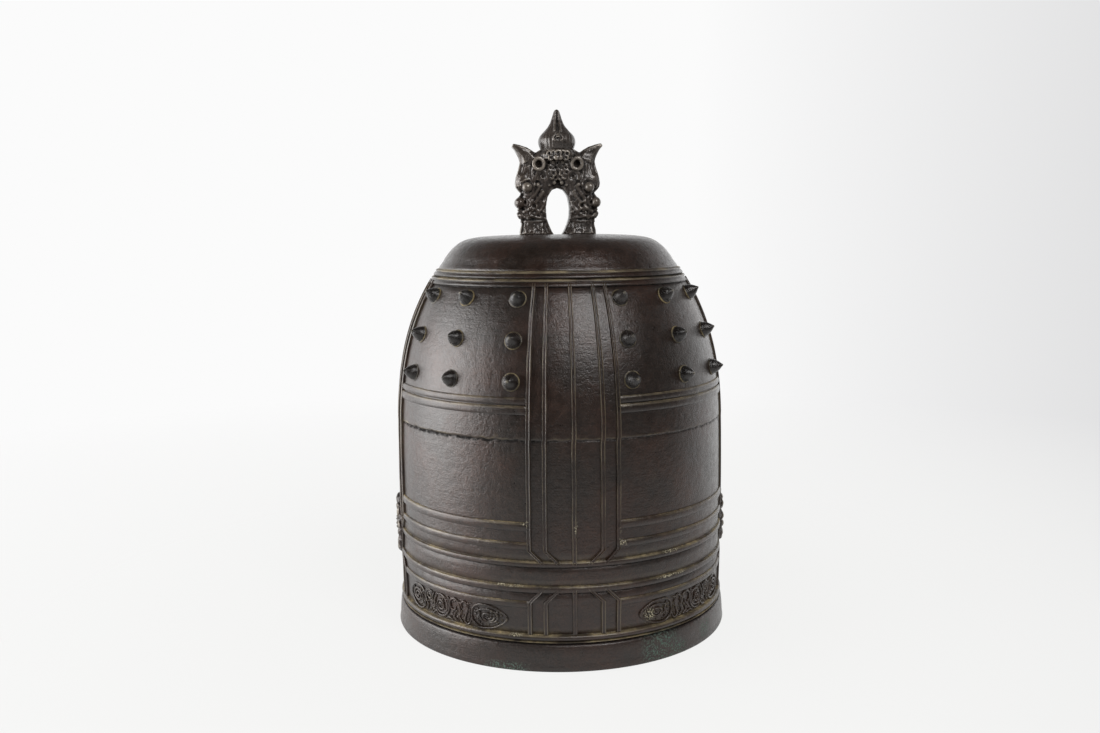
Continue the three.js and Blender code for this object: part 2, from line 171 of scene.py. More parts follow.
def bead(cord, steps=12):
    """Points over a cord, from the fine groove below it to the one above it, as radius and height."""
    foot, width, relief = cord
    points = [(wall_at(foot) - groove_depth, foot - groove_width / 2)]
    if cord in shoulder_cords:
        for across, up in shoulder_cord_shares:
            points.append((wall_at(foot + width * across) + relief * up, foot + width * across))
        return points
    for step in range(steps + 1):
        swing = math.pi * step / steps
        height = foot + width * (1 - math.cos(swing)) / 2
        points.append((wall_at(height) + relief * math.sin(swing) ** 0.65, height))
    if cord != base_fillet:
        points.append((wall_at(foot + width) - groove_depth, foot + width + groove_width / 2))
    return points


def wall_rows(low, high, pitch=0.006, margin=0.0008):
    """Rows of plain wall between two cords, closer together at the mould's seam."""
    low += margin
    high -= margin
    if high <= low:
        return []
    count = max(1, round((high - low) / pitch))
    heights = [low + (high - low) * row / count for row in range(count + 1)]
    if low < seam_height < high:
        heights = [height for height in heights if abs(height - seam_height) > seam_reach]
        heights = sorted(heights + [seam_height + seam_pitch * row for row in range(-7, 8)])
    return [(wall_at(height), height) for height in heights]


def casting_profile():
    """The whole section of the casting, from the top of its crown round the lip to the hollow's top."""
    lip_radius = wall_radius + lip_flare
    outside = [
        (lip_radius - lip_edge, 0),
        (lip_radius - lip_edge * 0.3, lip_edge * 0.3),
        (lip_radius, lip_edge),
    ]
    for share in (0.2, 0.35, 0.5, 0.65, 0.8):
        bulge = lip_bulge * math.sin(math.pi * share)
        outside.append((lip_radius - lip_taper * share + bulge, lip_height * share))
    outside += [
        (lip_radius - lip_taper, lip_height - 0.0022),
        (lip_radius - lip_taper - 0.0003, lip_height - 0.0012),
        (lip_radius - lip_taper - 0.0014, lip_height - 0.0003),
        (wall_at(lip_height), lip_height + 0.0002),
    ]
    for cord, following in zip(round_cords, round_cords[1:] + [None]):
        outside += bead(cord)
        if following:
            outside += wall_rows(cord[0] + cord[1], following[0])
    crown_radius = shoulder_radius - crown_setback
    crown_rise = bell_height - crown_foot
    crown_shares = [
        (0.99, 0.03), (0.983, 0.08), (0.97, 0.14), (0.954, 0.22), (0.938, 0.31), (0.920, 0.40), (0.901, 0.49),
        (0.880, 0.58), (0.855, 0.665), (0.826, 0.745), (0.805, 0.795), (0.775, 0.85), (0.74, 0.888),
        (0.70, 0.917), (0.64, 0.947), (0.56, 0.968), (0.47, 0.984), (0.38, 0.994), (0.28, 0.999), (0.15, 1),
        (0, 1),
    ]
    outside += [(crown_radius * radius, crown_foot + crown_rise * height) for radius, height in crown_shares]
    inner_lip = lip_radius - lip_thickness
    inside = [(inner_lip + lip_chamfer, 0), (inner_lip, lip_chamfer), (inner_lip, lip_height)]
    for height in (0.0946, 0.13, 0.16, 0.2, 0.24, 0.27, 0.29, 0.305, 0.32, 0.33):
        inside.append((wall_at(height) - wall_thickness, height))
    dome_radius = wall_at(shoulder_height) - wall_thickness
    dome_rise = bell_height - crown_thickness - shoulder_height
    dome_steps = 8
    for step in range(dome_steps + 1):
        swing = math.pi / 2 * step / dome_steps
        share = math.cos(swing) ** 0.6 if step < dome_steps else 0
        inside.append((dome_radius * share, shoulder_height + dome_rise * math.sin(swing)))
    return outside[::-1] + inside


bell_profile = [(radius, 0, height) for radius, height in casting_profile()]
bell_casting = turned(drawn_line("bell_casting", bell_profile), turning_steps)


def near(height, lines, reach):
    """One on the nearest of some level lines, and nothing farther from it than its reach."""
    return max(0.0, 1 - min(abs(height - line) for line in lines) / reach)


# Bearing, height, and half extents in degrees and metres, of the stains on the wall
chalk_stains = [
    (34, 0.0990, 3.6, 0.0012), (34.5, 0.0762, 6.5, 0.0010), (-21, 0.0772, 5, 0.0009),
    (-19, 0.0318, 1.8, 0.0011), (-15.6, 0.1345, 1.4, 0.0014), (15.2, 0.1150, 0.9, 0.0034),
    (15.8, 0.1262, 1.4, 0.0012), (25.5, 0.0440, 2.0, 0.0060), (0.4, 0.1290, 0.6, 0.0040),
    (-70, 0.2094, 4, 0.0006), (50, 0.2390, 5, 0.0010), (27, 0.1700, 0.8, 0.0020),
]
verdigris_stains = [
    (29.5, 0.009, 8.5, 0.020), (-22, 0.001, 8, 0.007), (52, 0.012, 4, 0.010), (35, 0.006, 6, 0.010),
]


def stain_at(stains, bearing, height):
    """How far a place lies inside one of the stains, from nothing to one."""
    share = 0.0
    for middle, level, half_bearing, half_height in stains:
        across = ((bearing - middle + 180) % 360 - 180) / half_bearing
        up = (height - level) / half_height
        share = max(share, max(0.0, 1 - across ** 2) * max(0.0, 1 - up ** 2))
    return share


def marks_on(piece, *names):
    """Adds marks for the bronze to read, one value for each vertex of a piece, and returns them."""
    for name in names:
        piece.data.attributes.new(name, "FLOAT", "POINT")
    return [piece.data.attributes[name].data for name in names]


def stained(piece):
    """Lays the stains of age on a piece of the wall: chalky spots and green copper rust."""
    chalk, verdigris = marks_on(piece, "chalk", "verdigris")
    for vertex in piece.data.vertices:
        bearing = math.degrees(math.atan2(vertex.co.x, -vertex.co.y))
        chalk[vertex.index].value = min(1.0, 1.3 * stain_at(chalk_stains, bearing, vertex.co.z))
        verdigris[vertex.index].value = min(1.0, 1.5 * stain_at(verdigris_stains, bearing, vertex.co.z))


dust_and_highlight, grime_and_shade, wear_and_highlight, seam = marks_on(bell_casting, "dust_and_highlight", "grime_and_shade", "wear_and_highlight", "seam")
cord_feet = [foot for foot, _, _ in round_cords] + [lip_height]
cord_heads = [foot + width for foot, width, _ in round_cords]
cord_crests = [foot + 0.84 * width for foot, width, _ in round_cords]
for vertex in bell_casting.data.vertices:
    radius = math.hypot(vertex.co.x, vertex.co.y)
    height = vertex.co.z
    # The hollow, the crown's upper side and middle, and the edge that the bell stands on stay as turned
    outer = height > bell_height - crown_thickness / 2 or radius > wall_at(min(height, skin_top)) - skin_depth
    if not outer or height < lip_edge or radius < crown_eye:
        continue
    turn = math.atan2(vertex.co.x, -vertex.co.y)
    # The seam of the mould's two halves is ragged and grooved, and deepest on the front left
    ragged = seam_height + 0.0013 * noise.noise(Vector((turn * 24, 0, 5)))
    torn = 0.45 + 0.55 * stain_at([(-46, seam_height, 42, 0.01)], math.degrees(turn), height)
    seam[vertex.index].value = near(height, [ragged - 0.0004], 0.0010 + 0.0018 * torn) * torn
    torn *= 0.65 + 0.7 * noise.noise(Vector((turn * 30, 7, 0)))
    in_seam = near(height, [ragged], 0.0007 + 0.0020 * torn) * min(1.0, 1.3 * torn)
    # The feet and heads of the cords are painted darker, as grime and as painted shade
    at_feet = max(near(height, cord_feet, 0.0010), 0.8 * near(height, cord_heads, 0.0007))
    grime_and_shade[vertex.index].value = max(at_feet, in_seam)
    # A pale line just over the seam, and one along the cords' heads, is painted lighter as dust and as
    # painted highlight
    over_seam = 0.7 * torn * near(height, [ragged + 0.0016], 0.0012)
    dust_and_highlight[vertex.index].value = max(1.2 * near(height, cord_heads, 0.0010), over_seam)
    # The upper side of each cord is painted lighter, as rubbed metal and as painted highlight, and the thin
    # lips of the shoulder cords are the most rubbed and highlit
    rubbed_and_highlit = 1.7 if height > lower_shoulder_cord[0] else 1
    wear_and_highlight[vertex.index].value = rubbed_and_highlit * near(height, cord_crests, 0.0009)
    share = 1 + (hand_made(turn, height) - seam_depth * in_seam) / radius
    vertex.co.x *= share
    vertex.co.y *= share
stained(bell_casting)


def linear(hex_colour):
    """A hex sRGB colour as the linear colour that a shader reads."""
    channels = [int(hex_colour[place:place + 2], 16) / 255 for place in (1, 3, 5)]
    return [c / 12.92 if c <= 0.04045 else ((c + 0.055) / 1.055) ** 2.4 for c in channels] + [1]


def add(tree, kind, inputs=None, **settings):
    """Adds a node with its settings, and fills its inputs with values or with other nodes' outputs."""
    made = tree.nodes.new(kind)
    for name, value in settings.items():
        setattr(made, name, value)
    for name, value in (inputs or {}).items():
        if isinstance(value, bpy.types.NodeSocket):
            tree.links.new(value, made.inputs[name])
        else:
            made.inputs[name].default_value = value
    return made


def bare_tree(owner):
    """The node tree of a material or a world, with nothing in it."""
    owner.use_nodes = True
    owner.node_tree.nodes.clear()
    return owner.node_tree


def patinated_bronze(name, body, warm, polish_and_highlight_colour, deposit_and_highlight_colour, roughness, streaks=1.0, grain=1.0):
    """Bronze under an old brown-black patina, as handled and waxed for many years.

    The skin is dark with warm brown clouds and lies in faint level streaks where the mould was swept. The
    crests of the reliefs are polished and painted lighter as highlight, their feet are grimy and dusty and
    painted darker as shade, and the wall has chalky spots and green copper rust. The wax is the coat."""
    material = bpy.data.materials.new(name)
    tree = bare_tree(material)
    place = add(tree, "ShaderNodeTexCoord").outputs["Object"]
    # Each pattern's scale, detail and roughness
    patterns = {
        # Clouds of warmer brown, about 70 mm across
        "clouds": (14, 5, 0.6),
        # Patches of dirt, about 30 mm across
        "patches": (34, 3, 0.5),
        # Mottling, about 8 mm across
        "mottle": (150, 6, 0.62),
        # Crumbs of dirt, about 4 mm across
        "crumbs": (260, 5, 0.7),
        # The sand's grain, about 1.5 mm, drawn twice as coarse as it is so that it shows
        "sand": (640, 4, 0.65),
    }
    height = {}
    for pattern, (scale, detail, rough) in patterns.items():
        made = add(
            tree, "ShaderNodeTexNoise",
            {"Vector": place, "Scale": scale, "Detail": detail, "Roughness": rough},
        )
        height[pattern] = made.outputs["Fac"]
    # Level streaks of the swept mould, about 2 mm apart
    stretch = add(tree, "ShaderNodeMapping", {"Vector": place, "Scale": (22, 22, 520)})
    sweep = add(
        tree, "ShaderNodeTexNoise",
        {"Vector": stretch.outputs[0], "Scale": 1, "Detail": 4, "Roughness": 0.55},
    )
    height["sweep"] = sweep.outputs["Fac"]
    # What each pattern gives: the two heights that it runs between, and its values there
    ramps = {
        "warmth": ("clouds", 0.42, 0.68, 0, 0.8),
        "lightness": ("mottle", 0.3, 0.72, 0.72, 1.32),
        "specks": ("sand", 0.32, 0.68, 0.6, 1.5),
        "crumbs": ("crumbs", 0.38, 0.62, 0.25, 1),
        "patches": ("patches", 0.38, 0.62, 0.15, 1),
        "tears": ("crumbs", 0.44, 0.53, 0, 1),
        "flecks": ("sand", 0.50, 0.60, 0, 1),
        "roughness": ("mottle", 0.3, 0.7, roughness - 0.09, roughness + 0.15),
    }
    share = {}
    for ramp, (pattern, low, high, at_low, at_high) in ramps.items():
        made = add(
            tree, "ShaderNodeMapRange",
            {"Value": height[pattern], "From Min": low, "From Max": high,
             "To Min": at_low, "To Max": at_high},
        )
        share[ramp] = made.outputs[0]
    scattered = add(tree, "ShaderNodeMath", {0: share["crumbs"], 1: share["patches"]}, operation="MULTIPLY")
    share["scattered"] = scattered.outputs[0]
    coloured = add(
        tree, "ShaderNodeMix", {0: share["warmth"], 6: linear(body), 7: linear(warm)}, data_type="RGBA")
    for tone in ("lightness", "specks"):
        coloured = add(
            tree, "ShaderNodeMix", {0: 1.0, 6: coloured.outputs[2], 7: share[tone]},
            data_type="RGBA", blend_type="MULTIPLY",
        )
    # The marks, from the lowest layer up: what breaks each up, how much it covers, and its colour. Grime
    # darkens feet and hollows as dirt and as painted shade; wear and dust lighten crests and upper edges as
    # polish and dust and as painted highlight
    layers = [
        ("grime_and_shade", "crumbs", 1.25, "#0b0908"),
        ("seam", "tears", 1.2, "#14100e"),
        ("wear_and_highlight", "patches", 0.7, polish_and_highlight_colour),
        ("dust_and_highlight", "scattered", 0.85, deposit_and_highlight_colour),
        ("verdigris", "flecks", 0.9, "#6d8478"),
        ("chalk", "flecks", 1.6, "#cbc3a8"),
    ]
    dry = None
    for mark, breaking, most, colour in layers:
        spread = add(tree, "ShaderNodeMath", {
            0: add(tree, "ShaderNodeAttribute", attribute_name=mark).outputs["Fac"],
            1: share[breaking],
        }, operation="MULTIPLY")
        cover = add(
            tree, "ShaderNodeMath", {0: spread.outputs[0], 1: most}, operation="MULTIPLY", use_clamp=True)
        coloured = add(
            tree, "ShaderNodeMix",
            {0: cover.outputs[0], 6: coloured.outputs[2], 7: linear(colour)}, data_type="RGBA",
        )
        # All but the polished crests, which also carry painted highlight, are dry, without wax
        if mark == "wear_and_highlight":
            continue
        if dry:
            cover = add(tree, "ShaderNodeMath", {0: dry.outputs[0], 1: cover.outputs[0]}, operation="MAXIMUM")
        dry = cover
    rough = add(
        tree, "ShaderNodeMath", {0: share["roughness"], 1: dry.outputs[0]}, operation="ADD", use_clamp=True)
    waxed = add(tree, "ShaderNodeMath", {0: 0.9, 1: dry.outputs[0]}, operation="SUBTRACT", use_clamp=True)
    relief = {}
    reliefs = [
        ("sweep", 0.25 * streaks, 0.0006),
        ("sand", 0.5 * grain, 0.0006),
        ("mottle", 0.44 * grain, 0.0012),
    ]
    for pattern, strength, depth in reliefs:
        bump = add(
            tree, "ShaderNodeBump",
            {"Height": height[pattern], "Strength": strength, "Distance": depth, **relief},
        )
        relief = {"Normal": bump.outputs[0]}
    shader = add(
        tree, "ShaderNodeBsdfPrincipled",
        {"Base Color": coloured.outputs[2], "Metallic": 0.3, "Roughness": rough.outputs[0],
         "Coat Weight": waxed.outputs[0], "Coat Roughness": 0.26, "Coat Normal": bump.outputs[0], **relief},
    )
    add(tree, "ShaderNodeOutputMaterial", {"Surface": shader.outputs[0]})
    return material


wall_bronze = patinated_bronze("brown_black_bronze", "#251a13", "#392013", "#857860", "#ad9c77", 0.36)
bell_casting.data.materials.append(wall_bronze)
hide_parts("bell_body")
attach(bell_casting, "root")

# The raised ribs and the cords that stop at the vertical bands. A pattern of each was
# pressed into the mould's face, so they are cast in one with the wall, with soft edges.

rib_width = 0.0045
rib_relief = 0.0021
foot_sink = 0.0006
inner_bearing = 9.2
outer_bearing = 14.3
upper_mitre = 0.0124
lower_mitre = 0.0120
extrude_step = 0.004
# Foot, width and relief of each cord of a panel
panel_cords = [
    (0.0568, 0.0066, 0.0017),
    (0.1102, 0.0068, 0.0018),
    (0.1271, 0.0082, 0.0019),
    (0.2302, 0.0080, 0.0018),
    (0.2390, 0.0064, 0.0017),
]


def wrapped(piece, bearing):
    """Bends a relief that was modelled flat, x along the wall, y up and z out, round the bell."""
    for vertex in piece.data.vertices:
        along, height, out = vertex.co
        shift = seam_shift if height > seam_height else 0
        wander = 0.0004 * noise.noise(Vector((along + bearing, height, 0)) / 0.03)
        turn = math.radians(bearing) + (along + shift + wander) / wall_radius
        slope = (wall_at(height + extrude_step) - wall_at(height - extrude_step)) / (2 * extrude_step)
        tilt = math.atan(-slope)
        radius = wall_at(height) + hand_made(turn, height) + out * math.cos(tilt)
        vertex.co = (radius * math.sin(turn), -radius * math.cos(turn), height + out * math.sin(tilt))
    piece.data.update()
    return piece


def rib_section(width, relief):
    """The section of a low rib with a slightly hollow top, half of it to each side of nothing."""
    half = width / 2
    shares = [(1, 0), (0.93, 0.5), (0.84, 0.86), (0.72, 1), (0.55, 0.93), (0.35, 0.76), (0, 0.68)]
    shares += [(-across, up) for across, up in shares[-2::-1]]
    top = [(half * across, relief * up) for across, up in shares]
    return [(half, -foot_sink)] + top + [(-half, -foot_sink)]


def cord_section(width, relief, steps=10):
    """The section of a panel's cord, low and round."""
    half = width / 2
    section = [(half, -foot_sink)]
    for step in range(steps + 1):
        swing = math.pi * step / steps
        section.append((half * math.cos(swing), relief * math.sin(swing) ** 0.65))
    return section + [(-half, -foot_sink)]


def extruded(name, section, path):
    """Fills a drawn section and extrudes it along a path."""
    piece = drawn_line(name, section)
    bpy.ops.object.mode_set(mode="EDIT")
    bpy.ops.mesh.select_all(action="SELECT")
    bpy.ops.mesh.edge_face_add()
    for here, there in zip(path, path[1:]):
        step = Vector(there) - Vector(here)
        count = max(1, round(step.length / extrude_step))
        for _ in range(count):
            bpy.ops.mesh.extrude_region_move(TRANSFORM_OT_translate={"value": step / count})
    finish_form()
    return piece


def marked(piece, relief):
    """Marks a flat relief before it is wrapped: dust, and grime with painted shade, along its feet, and wear
    with painted highlight on its crests.
    """
    dust_and_highlight, grime_and_shade, wear_and_highlight = marks_on(piece, "dust_and_highlight", "grime_and_shade", "wear_and_highlight")
    for vertex in piece.data.vertices:
        rise = max(vertex.co.z, 0) / relief
        dust_and_highlight[vertex.index].value = 0.5 * max(0.0, 1 - rise / 0.6)
        grime_and_shade[vertex.index].value = max(0.0, 1 - rise / 0.5)
        wear_and_highlight[vertex.index].value = min(1.0, max(0.0, (rise - 0.88) / 0.1))
    return piece


def joined(name, pieces):
    """Joins pieces into one."""
    pick(*pieces)
    bpy.ops.object.join()
    whole = bpy.context.object
    whole.name = name
    return whole


def vertical_rib(name, path):
    """One rib, still flat, along a path on the wall."""
    start = path[0]
    section = [(start[0] + x, start[1], z) for x, z in rib_section(rib_width, rib_relief)]
    rib = extruded(name, section, [(x, y, 0) for x, y in path])
    return marked(rib, rib_relief)


def band_ribs(bearing):
    """The ribs of one vertical band, with the slanting feet and heads beside the belts."""
    upper_foot = middle_belt[0] + middle_belt[1] / 2
    upper_head = shoulder_height + 0.002
    lower_foot = base_cord[0] + base_cord[1] / 2
    lower_head = lower_belt[0] + lower_belt[1] / 2
    paths = [[(0, upper_foot), (0, upper_head)], [(0, lower_foot), (0, lower_head)]]
    for side in (-1, 1):
        for offset in (inner_bearing, outer_bearing):
            along = side * math.radians(offset) * wall_radius
            aslant = along - side * upper_mitre
            paths.append([(aslant, upper_foot), (along, upper_foot + upper_mitre), (along, upper_head)])
            aslant = along - side * lower_mitre
            paths.append([(along, lower_foot), (along, lower_head - lower_mitre), (aslant, lower_head)])
    ribs = [vertical_rib("rib", path) for path in paths]
    return wrapped(joined(f"band_ribs_{bearing}", ribs), bearing)


def panel_set(bearing):
    """The cords of one panel, from one band's outer rib to the next one's, painted lighter on their upper
    edges as wear, dust and painted highlight, and darker below as grime and painted shade.
    """
    half = math.radians(45 - outer_bearing) * wall_radius
    cords = []
    for foot, width, relief in panel_cords:
        middle = foot + width / 2
        section = [(-half, middle + y, z) for y, z in cord_section(width, relief)]
        cord = marked(extruded("cord", section, [(-half, middle, 0), (half, middle, 0)]), relief)
        dust_and_highlight, grime_and_shade, wear_and_highlight = [cord.data.attributes[name].data for name in ("dust_and_highlight", "grime_and_shade", "wear_and_highlight")]
        for vertex in cord.data.vertices:
            upper = (vertex.co.y - middle) / width
            # The upper side is painted lighter as wear, dust and painted highlight, and grime, which is also
            # painted shade, is kept mostly below
            wear_and_highlight[vertex.index].value = near(upper, [0.33], 0.14)
            dust_and_highlight[vertex.index].value = 1.1 * near(upper, [0.47], 0.07)
            if upper > 0:
                grime_and_shade[vertex.index].value *= 0.3
        cords.append(cord)
    return wrapped(joined(f"panel_cords_{bearing}", cords), bearing)


for quarter in range(4):
    for piece in (band_ribs(90 * quarter), panel_set(90 * quarter + 45)):
        stained(piece)
        piece.data.materials.append(wall_bronze)
        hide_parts("bell_body")
        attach(piece, "root")

# The two striking seats, at the sides. Each is a lotus in low relief, cast with the
# wall over the belts: eight double petals, tips of eight more between them, a ring of
# stamens and a round seed head, where the beam strikes.

seat_middle = 0.097
seat_radius = 0.0312
seat_rise = 0.0024
petal_rise = 0.0062
petal_foot = 0.0125
petal_width = 0.0190
petals_round = 8
stamens_round = 40
stamen_foot = 0.0098
stamen_half_width = 0.0007
stamen_half_length = 0.0022
stamen_rise = 0.0036
seed_head_radius = 0.0102
seed_head_rise = 0.0064
seeds_round = 8
seed_circle = 0.0055
seed_size = 0.0013
# Along a petal from its foot: share of its width, and of its rise
petal_widths = [
    (0, 0.55), (0.2, 0.75), (0.45, 0.96), (0.6, 1), (0.75, 0.9), (0.87, 0.64), (0.95, 0.34), (1, 0.02),
]
petal_rises = [(0, 0.5), (0.3, 0.8), (0.55, 0.97), (0.75, 1), (0.9, 0.8), (0.97, 0.5), (1, 0.2)]
# Sections, as shares of radius and rise: the seat's plate, its seed head, and a half-round seed
plate_shares = [(0, -0.2), (1, -0.2), (1, 0.5), (0.985, 0.85), (0.96, 1), (0, 1)]
head_shares = [
    (0, -0.1), (1, -0.1), (1, 0.55), (0.97, 0.72), (0.92, 0.8), (0.86, 0.82), (0.8, 0.8), (0.5, 0.87),
    (0, 0.9),
]
seed_shares = [(0, -0.5), (1, -0.5), (0.98, 0.2), (0.8, 0.65), (0.45, 0.92), (0, 1)]


def read_off(curve, at):
    """Reads a value off a curve that is given by a few points."""
    for (low, value), (high, following) in zip(curve, curve[1:]):
        if at <= high:
            return value + (following - value) * (at - low) / (high - low)
    return curve[-1][1]


def closed_below(piece):
    """Fills the open rim of a pressed sheet, so that it is a closed form, and smooths it."""
    bpy.ops.object.mode_set(mode="EDIT")
    bpy.ops.mesh.select_all(action="DESELECT")
    bpy.ops.mesh.select_mode(type="EDGE")
    bpy.ops.mesh.select_non_manifold()
    bpy.ops.mesh.edge_face_add()
    bpy.ops.mesh.select_mode(type="VERT")
    finish_form()
    return piece


def another(pattern, place):
    """A copy of a piece, with a mesh of its own, moved to its place."""
    copied = pattern.copy()
    copied.data = pattern.data.copy()
    copied.data.transform(place)
    bpy.context.scene.collection.objects.link(copied)
    return copied


def lotus_petal(foot, tip, width, rise):
    """One double petal: two soft lobes with a vein between them and a pointed tip."""
    deselect()
    bpy.ops.mesh.primitive_grid_add(x_subdivisions=18, y_subdivisions=16, size=2)
    petal = bpy.context.object
    for vertex in petal.data.vertices:
        across, along = vertex.co.x, (vertex.co.y + 1) / 2
        half = width / 2 * read_off(petal_widths, along)
        lobe = math.sqrt(max(0.0, 1 - (2 * abs(across) - 1) ** 2))
        cap = 0.4 * math.sqrt(max(0.0, 1 - across ** 2)) + 0.6 * lobe
        rim = abs(across) > 0.999 or along > 0.999 or along < 0.001
        out = -foot_sink if rim else rise * read_off(petal_rises, along) * (0.3 + 0.7 * cap)
        vertex.co = (half * across, foot + (tip - foot) * along, out)
    return closed_below(petal)


def round_boss(radius, rise, shares, steps=48):
    """A low turned form that stands on the flat wall."""
    profile = [(radius * across, 0, rise * up) for across, up in shares]
    return turned(drawn_line("boss", profile), steps)


def striking_seat():
    """The whole seat, still flat."""
    middle = Matrix.Translation((0, seat_middle, 0))
    plate = round_boss(seat_radius, seat_rise, plate_shares, 72)
    seed_head = round_boss(seed_head_radius, seed_head_rise, head_shares)
    pieces = [plate, seed_head]
    for piece in pieces:
        piece.data.transform(middle)
    petal = lotus_petal(petal_foot, seat_radius * 0.985, petal_width, petal_rise)
    tip = lotus_petal(petal_foot, seat_radius, petal_width * 0.62, petal_rise * 0.72)
    deselect()
    bpy.ops.mesh.primitive_uv_sphere_add(segments=8, ring_count=6, radius=1, location=(0, 0, 0))
    stamen = bpy.context.object
    bpy.ops.object.shade_smooth()
    stamen.data.transform(Matrix.Diagonal((stamen_half_width, stamen_half_length, stamen_rise, 1)))
    stamen.data.transform(Matrix.Translation((0, stamen_foot + 0.0020, 0)))
    rings = ((petal, petals_round, 0), (tip, petals_round, 0.5), (stamen, stamens_round, 0))
    for pattern, count, start in rings:
        for number in range(count):
            turn = 2 * math.pi * (number + start) / count
            pieces.append(another(pattern, middle @ Matrix.Rotation(-turn, 4, "Z")))
    seed = round_boss(seed_size, seed_size, seed_shares, 14)
    seed.data.transform(Matrix.Translation((0, 0, seed_head_rise * 0.85)))
    pieces.append(another(seed, middle))
    for number in range(seeds_round):
        turn = 2 * math.pi / seeds_round * number
        set_out = Matrix.Translation((seed_circle * math.sin(turn), seed_circle * math.cos(turn), 0))
        pieces.append(another(seed, middle @ set_out))
    for pattern in (petal, tip, stamen, seed):
        bpy.data.objects.remove(pattern)
    return marked(joined("striking_seat", pieces), petal_rise * 0.8)


flat_seat = striking_seat()
for bearing in (90, 270):
    seat = wrapped(another(flat_seat, Matrix.Identity(4)), bearing)
    seat.name = f"striking_seat_{bearing}"
    seat.data.materials.append(wall_bronze)
    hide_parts("bell_body")
    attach(seat, "root")
bpy.data.objects.remove(flat_seat)

# The scrollwork of the four lower panels: a vine of round whorls that ends, towards the
# front and rear bands, in a pointed oval. It is cast with the wall, worn and soft.

vine_middle = 0.0450
vine_thickness = 0.0010
vine_lift = 0.0006
vine_relief = 0.0018
vine_lumps = 170
knob_size = 0.0013


def whorl(middle, wide, narrow, start, turns, squash=1.0):
    """Points of a spiral that winds in, in millimetres."""
    steps = max(12, round(abs(turns) * 26))
    points = []
    for step in range(steps + 1):
        share = step / steps
        radius = wide + (narrow - wide) * share
        swing = math.radians(start) + 2 * math.pi * turns * share
        points.append((middle[0] + radius * math.cos(swing), middle[1] + radius * squash * math.sin(swing)))
    return points


def smooth_line(points, steps=6):
    """A smooth line through a few points, in millimetres."""
    line = []
    padded = [points[0]] + points + [points[-1]]
    for before, here, there, after in zip(padded, padded[1:], padded[2:], padded[3:]):
        for step in range(steps):
            t = step / steps
            place = []
            for a, b, c, d in zip(before, here, there, after):
                squared, cubed = 2 * a - 5 * b + 4 * c - d, 3 * b - a - 3 * c + d
                place.append(0.5 * (2 * b + (c - a) * t + squared * t * t + cubed * t ** 3))
            line.append(tuple(place))
    return line + [points[-1]]


vine_lines = [
    # The pointed oval by the front band, and the whorl and leaves in it
    smooth_line([
        (-29, 0), (-30.5, 6.4), (-37, 10.6), (-47, 10.4), (-57, 7), (-65, 0),
        (-57, -7), (-47, -10.4), (-37, -10.6), (-30.5, -6.4), (-29, 0),
    ]),
    whorl((-45.5, 0), 12.6, 8.2, 20, 1.0, 0.58),
    whorl((-46, 0), 7.4, 2.0, 130, 1.6, 0.66),
    smooth_line([(-34.6, 7.4), (-37.4, 2.4), (-35.4, -2.8), (-37.8, -7.6)]),
    # The two tall curls that follow it
    smooth_line([
        (-27.6, -7.6), (-24.4, -10.8), (-20.8, -8), (-22.6, -1.4), (-24.6, 5.4), (-20.6, 10.2),
        (-16.4, 7.4), (-17.6, 3.4),
    ]),
    smooth_line([
        (-18.6, -10.4), (-14.6, -6), (-15.4, 0.6), (-13.6, 7.4), (-8.4, 10.6), (-3.2, 7.4),
        (-3.6, 1.4), (-8.4, -0.4), (-10.6, 3.2),
    ]),
    smooth_line([(-13, -10.4), (-8.4, -7.4), (-9.6, -2.6)]),
    smooth_line([(-7.4, -10.6), (-2, -8.6), (2.6, -10.8)]),
    # The great open whorl in the middle, with the leaves that spring from it
    whorl((9.5, 0.6), 11.2, 5.4, 60, 0.92, 0.95),
    whorl((9.8, 0.2), 5.2, 1.6, 30, 1.3, 1.1),
    smooth_line([
        (1, 8.4), (-1.8, 3), (-0.6, -3.6), (4.6, -8.4), (11.6, -9.6), (16.4, -6.2), (20.6, -9.8), (26, -10.4),
    ]),
    smooth_line([(15.6, 8.8), (18.8, 3.4), (18.2, -2.4), (22.4, -5.6)]),
    smooth_line([(19.4, 10.4), (22.6, 5), (21.8, 0.6), (25.6, -2.8)]),
    whorl((26.6, 5.6), 4.2, 1.2, 160, -1.4),
    smooth_line([(22.6, 9.8), (28, 11), (32.6, 8), (33, 1.6), (30, -3.6), (31.6, -9.4)]),
    # The oval at the far end
    smooth_line([
        (35, 0), (36.4, 7), (42.6, 10.8), (51, 10.8), (59.4, 7.4), (64.6, 0),
        (59.4, -7.4), (51, -10.8), (42.6, -10.8), (36.4, -7), (35, 0),
    ]),
    whorl((49.6, 0), 10.2, 2.4, 200, -1.9, 0.72),
    smooth_line([(57.4, 6.4), (59.2, 1.4), (57.8, -4.6)]),
]
vine_knobs = [
    (-46, 0), (-59.4, 2.2), (-59.4, -2.2), (-55.6, 5), (-55.6, -5), (-33, 3.6), (-33, -3.6),
    (-26.6, 2.4), (-19, -3.6), (-12, -6.4), (-5.6, -4.6), (9.6, 0.2), (1.6, -6.4), (14.2, -3.2),
    (25.4, -7), (28.6, -0.4), (49.4, 0), (40, 5.2), (40.2, -5.4), (-0.4, 9.8), (14.6, 11),
]


def strand_curve(name, places, thicknesses):
    """A round strand through a row of places, as thick at each as given."""
    curve = bpy.data.curves.new(name, "CURVE")
    curve.dimensions = "3D"
    curve.bevel_depth = 1
    curve.bevel_resolution = 2
    curve.use_fill_caps = True
    spline = curve.splines.new("POLY")
    spline.points.add(len(places) - 1)
    for point, place, thickness in zip(spline.points, places, thicknesses):
        point.co = (*place, 1)
        point.radius = thickness
    drawn = bpy.data.objects.new(name, curve)
    bpy.context.scene.collection.objects.link(drawn)
    return drawn


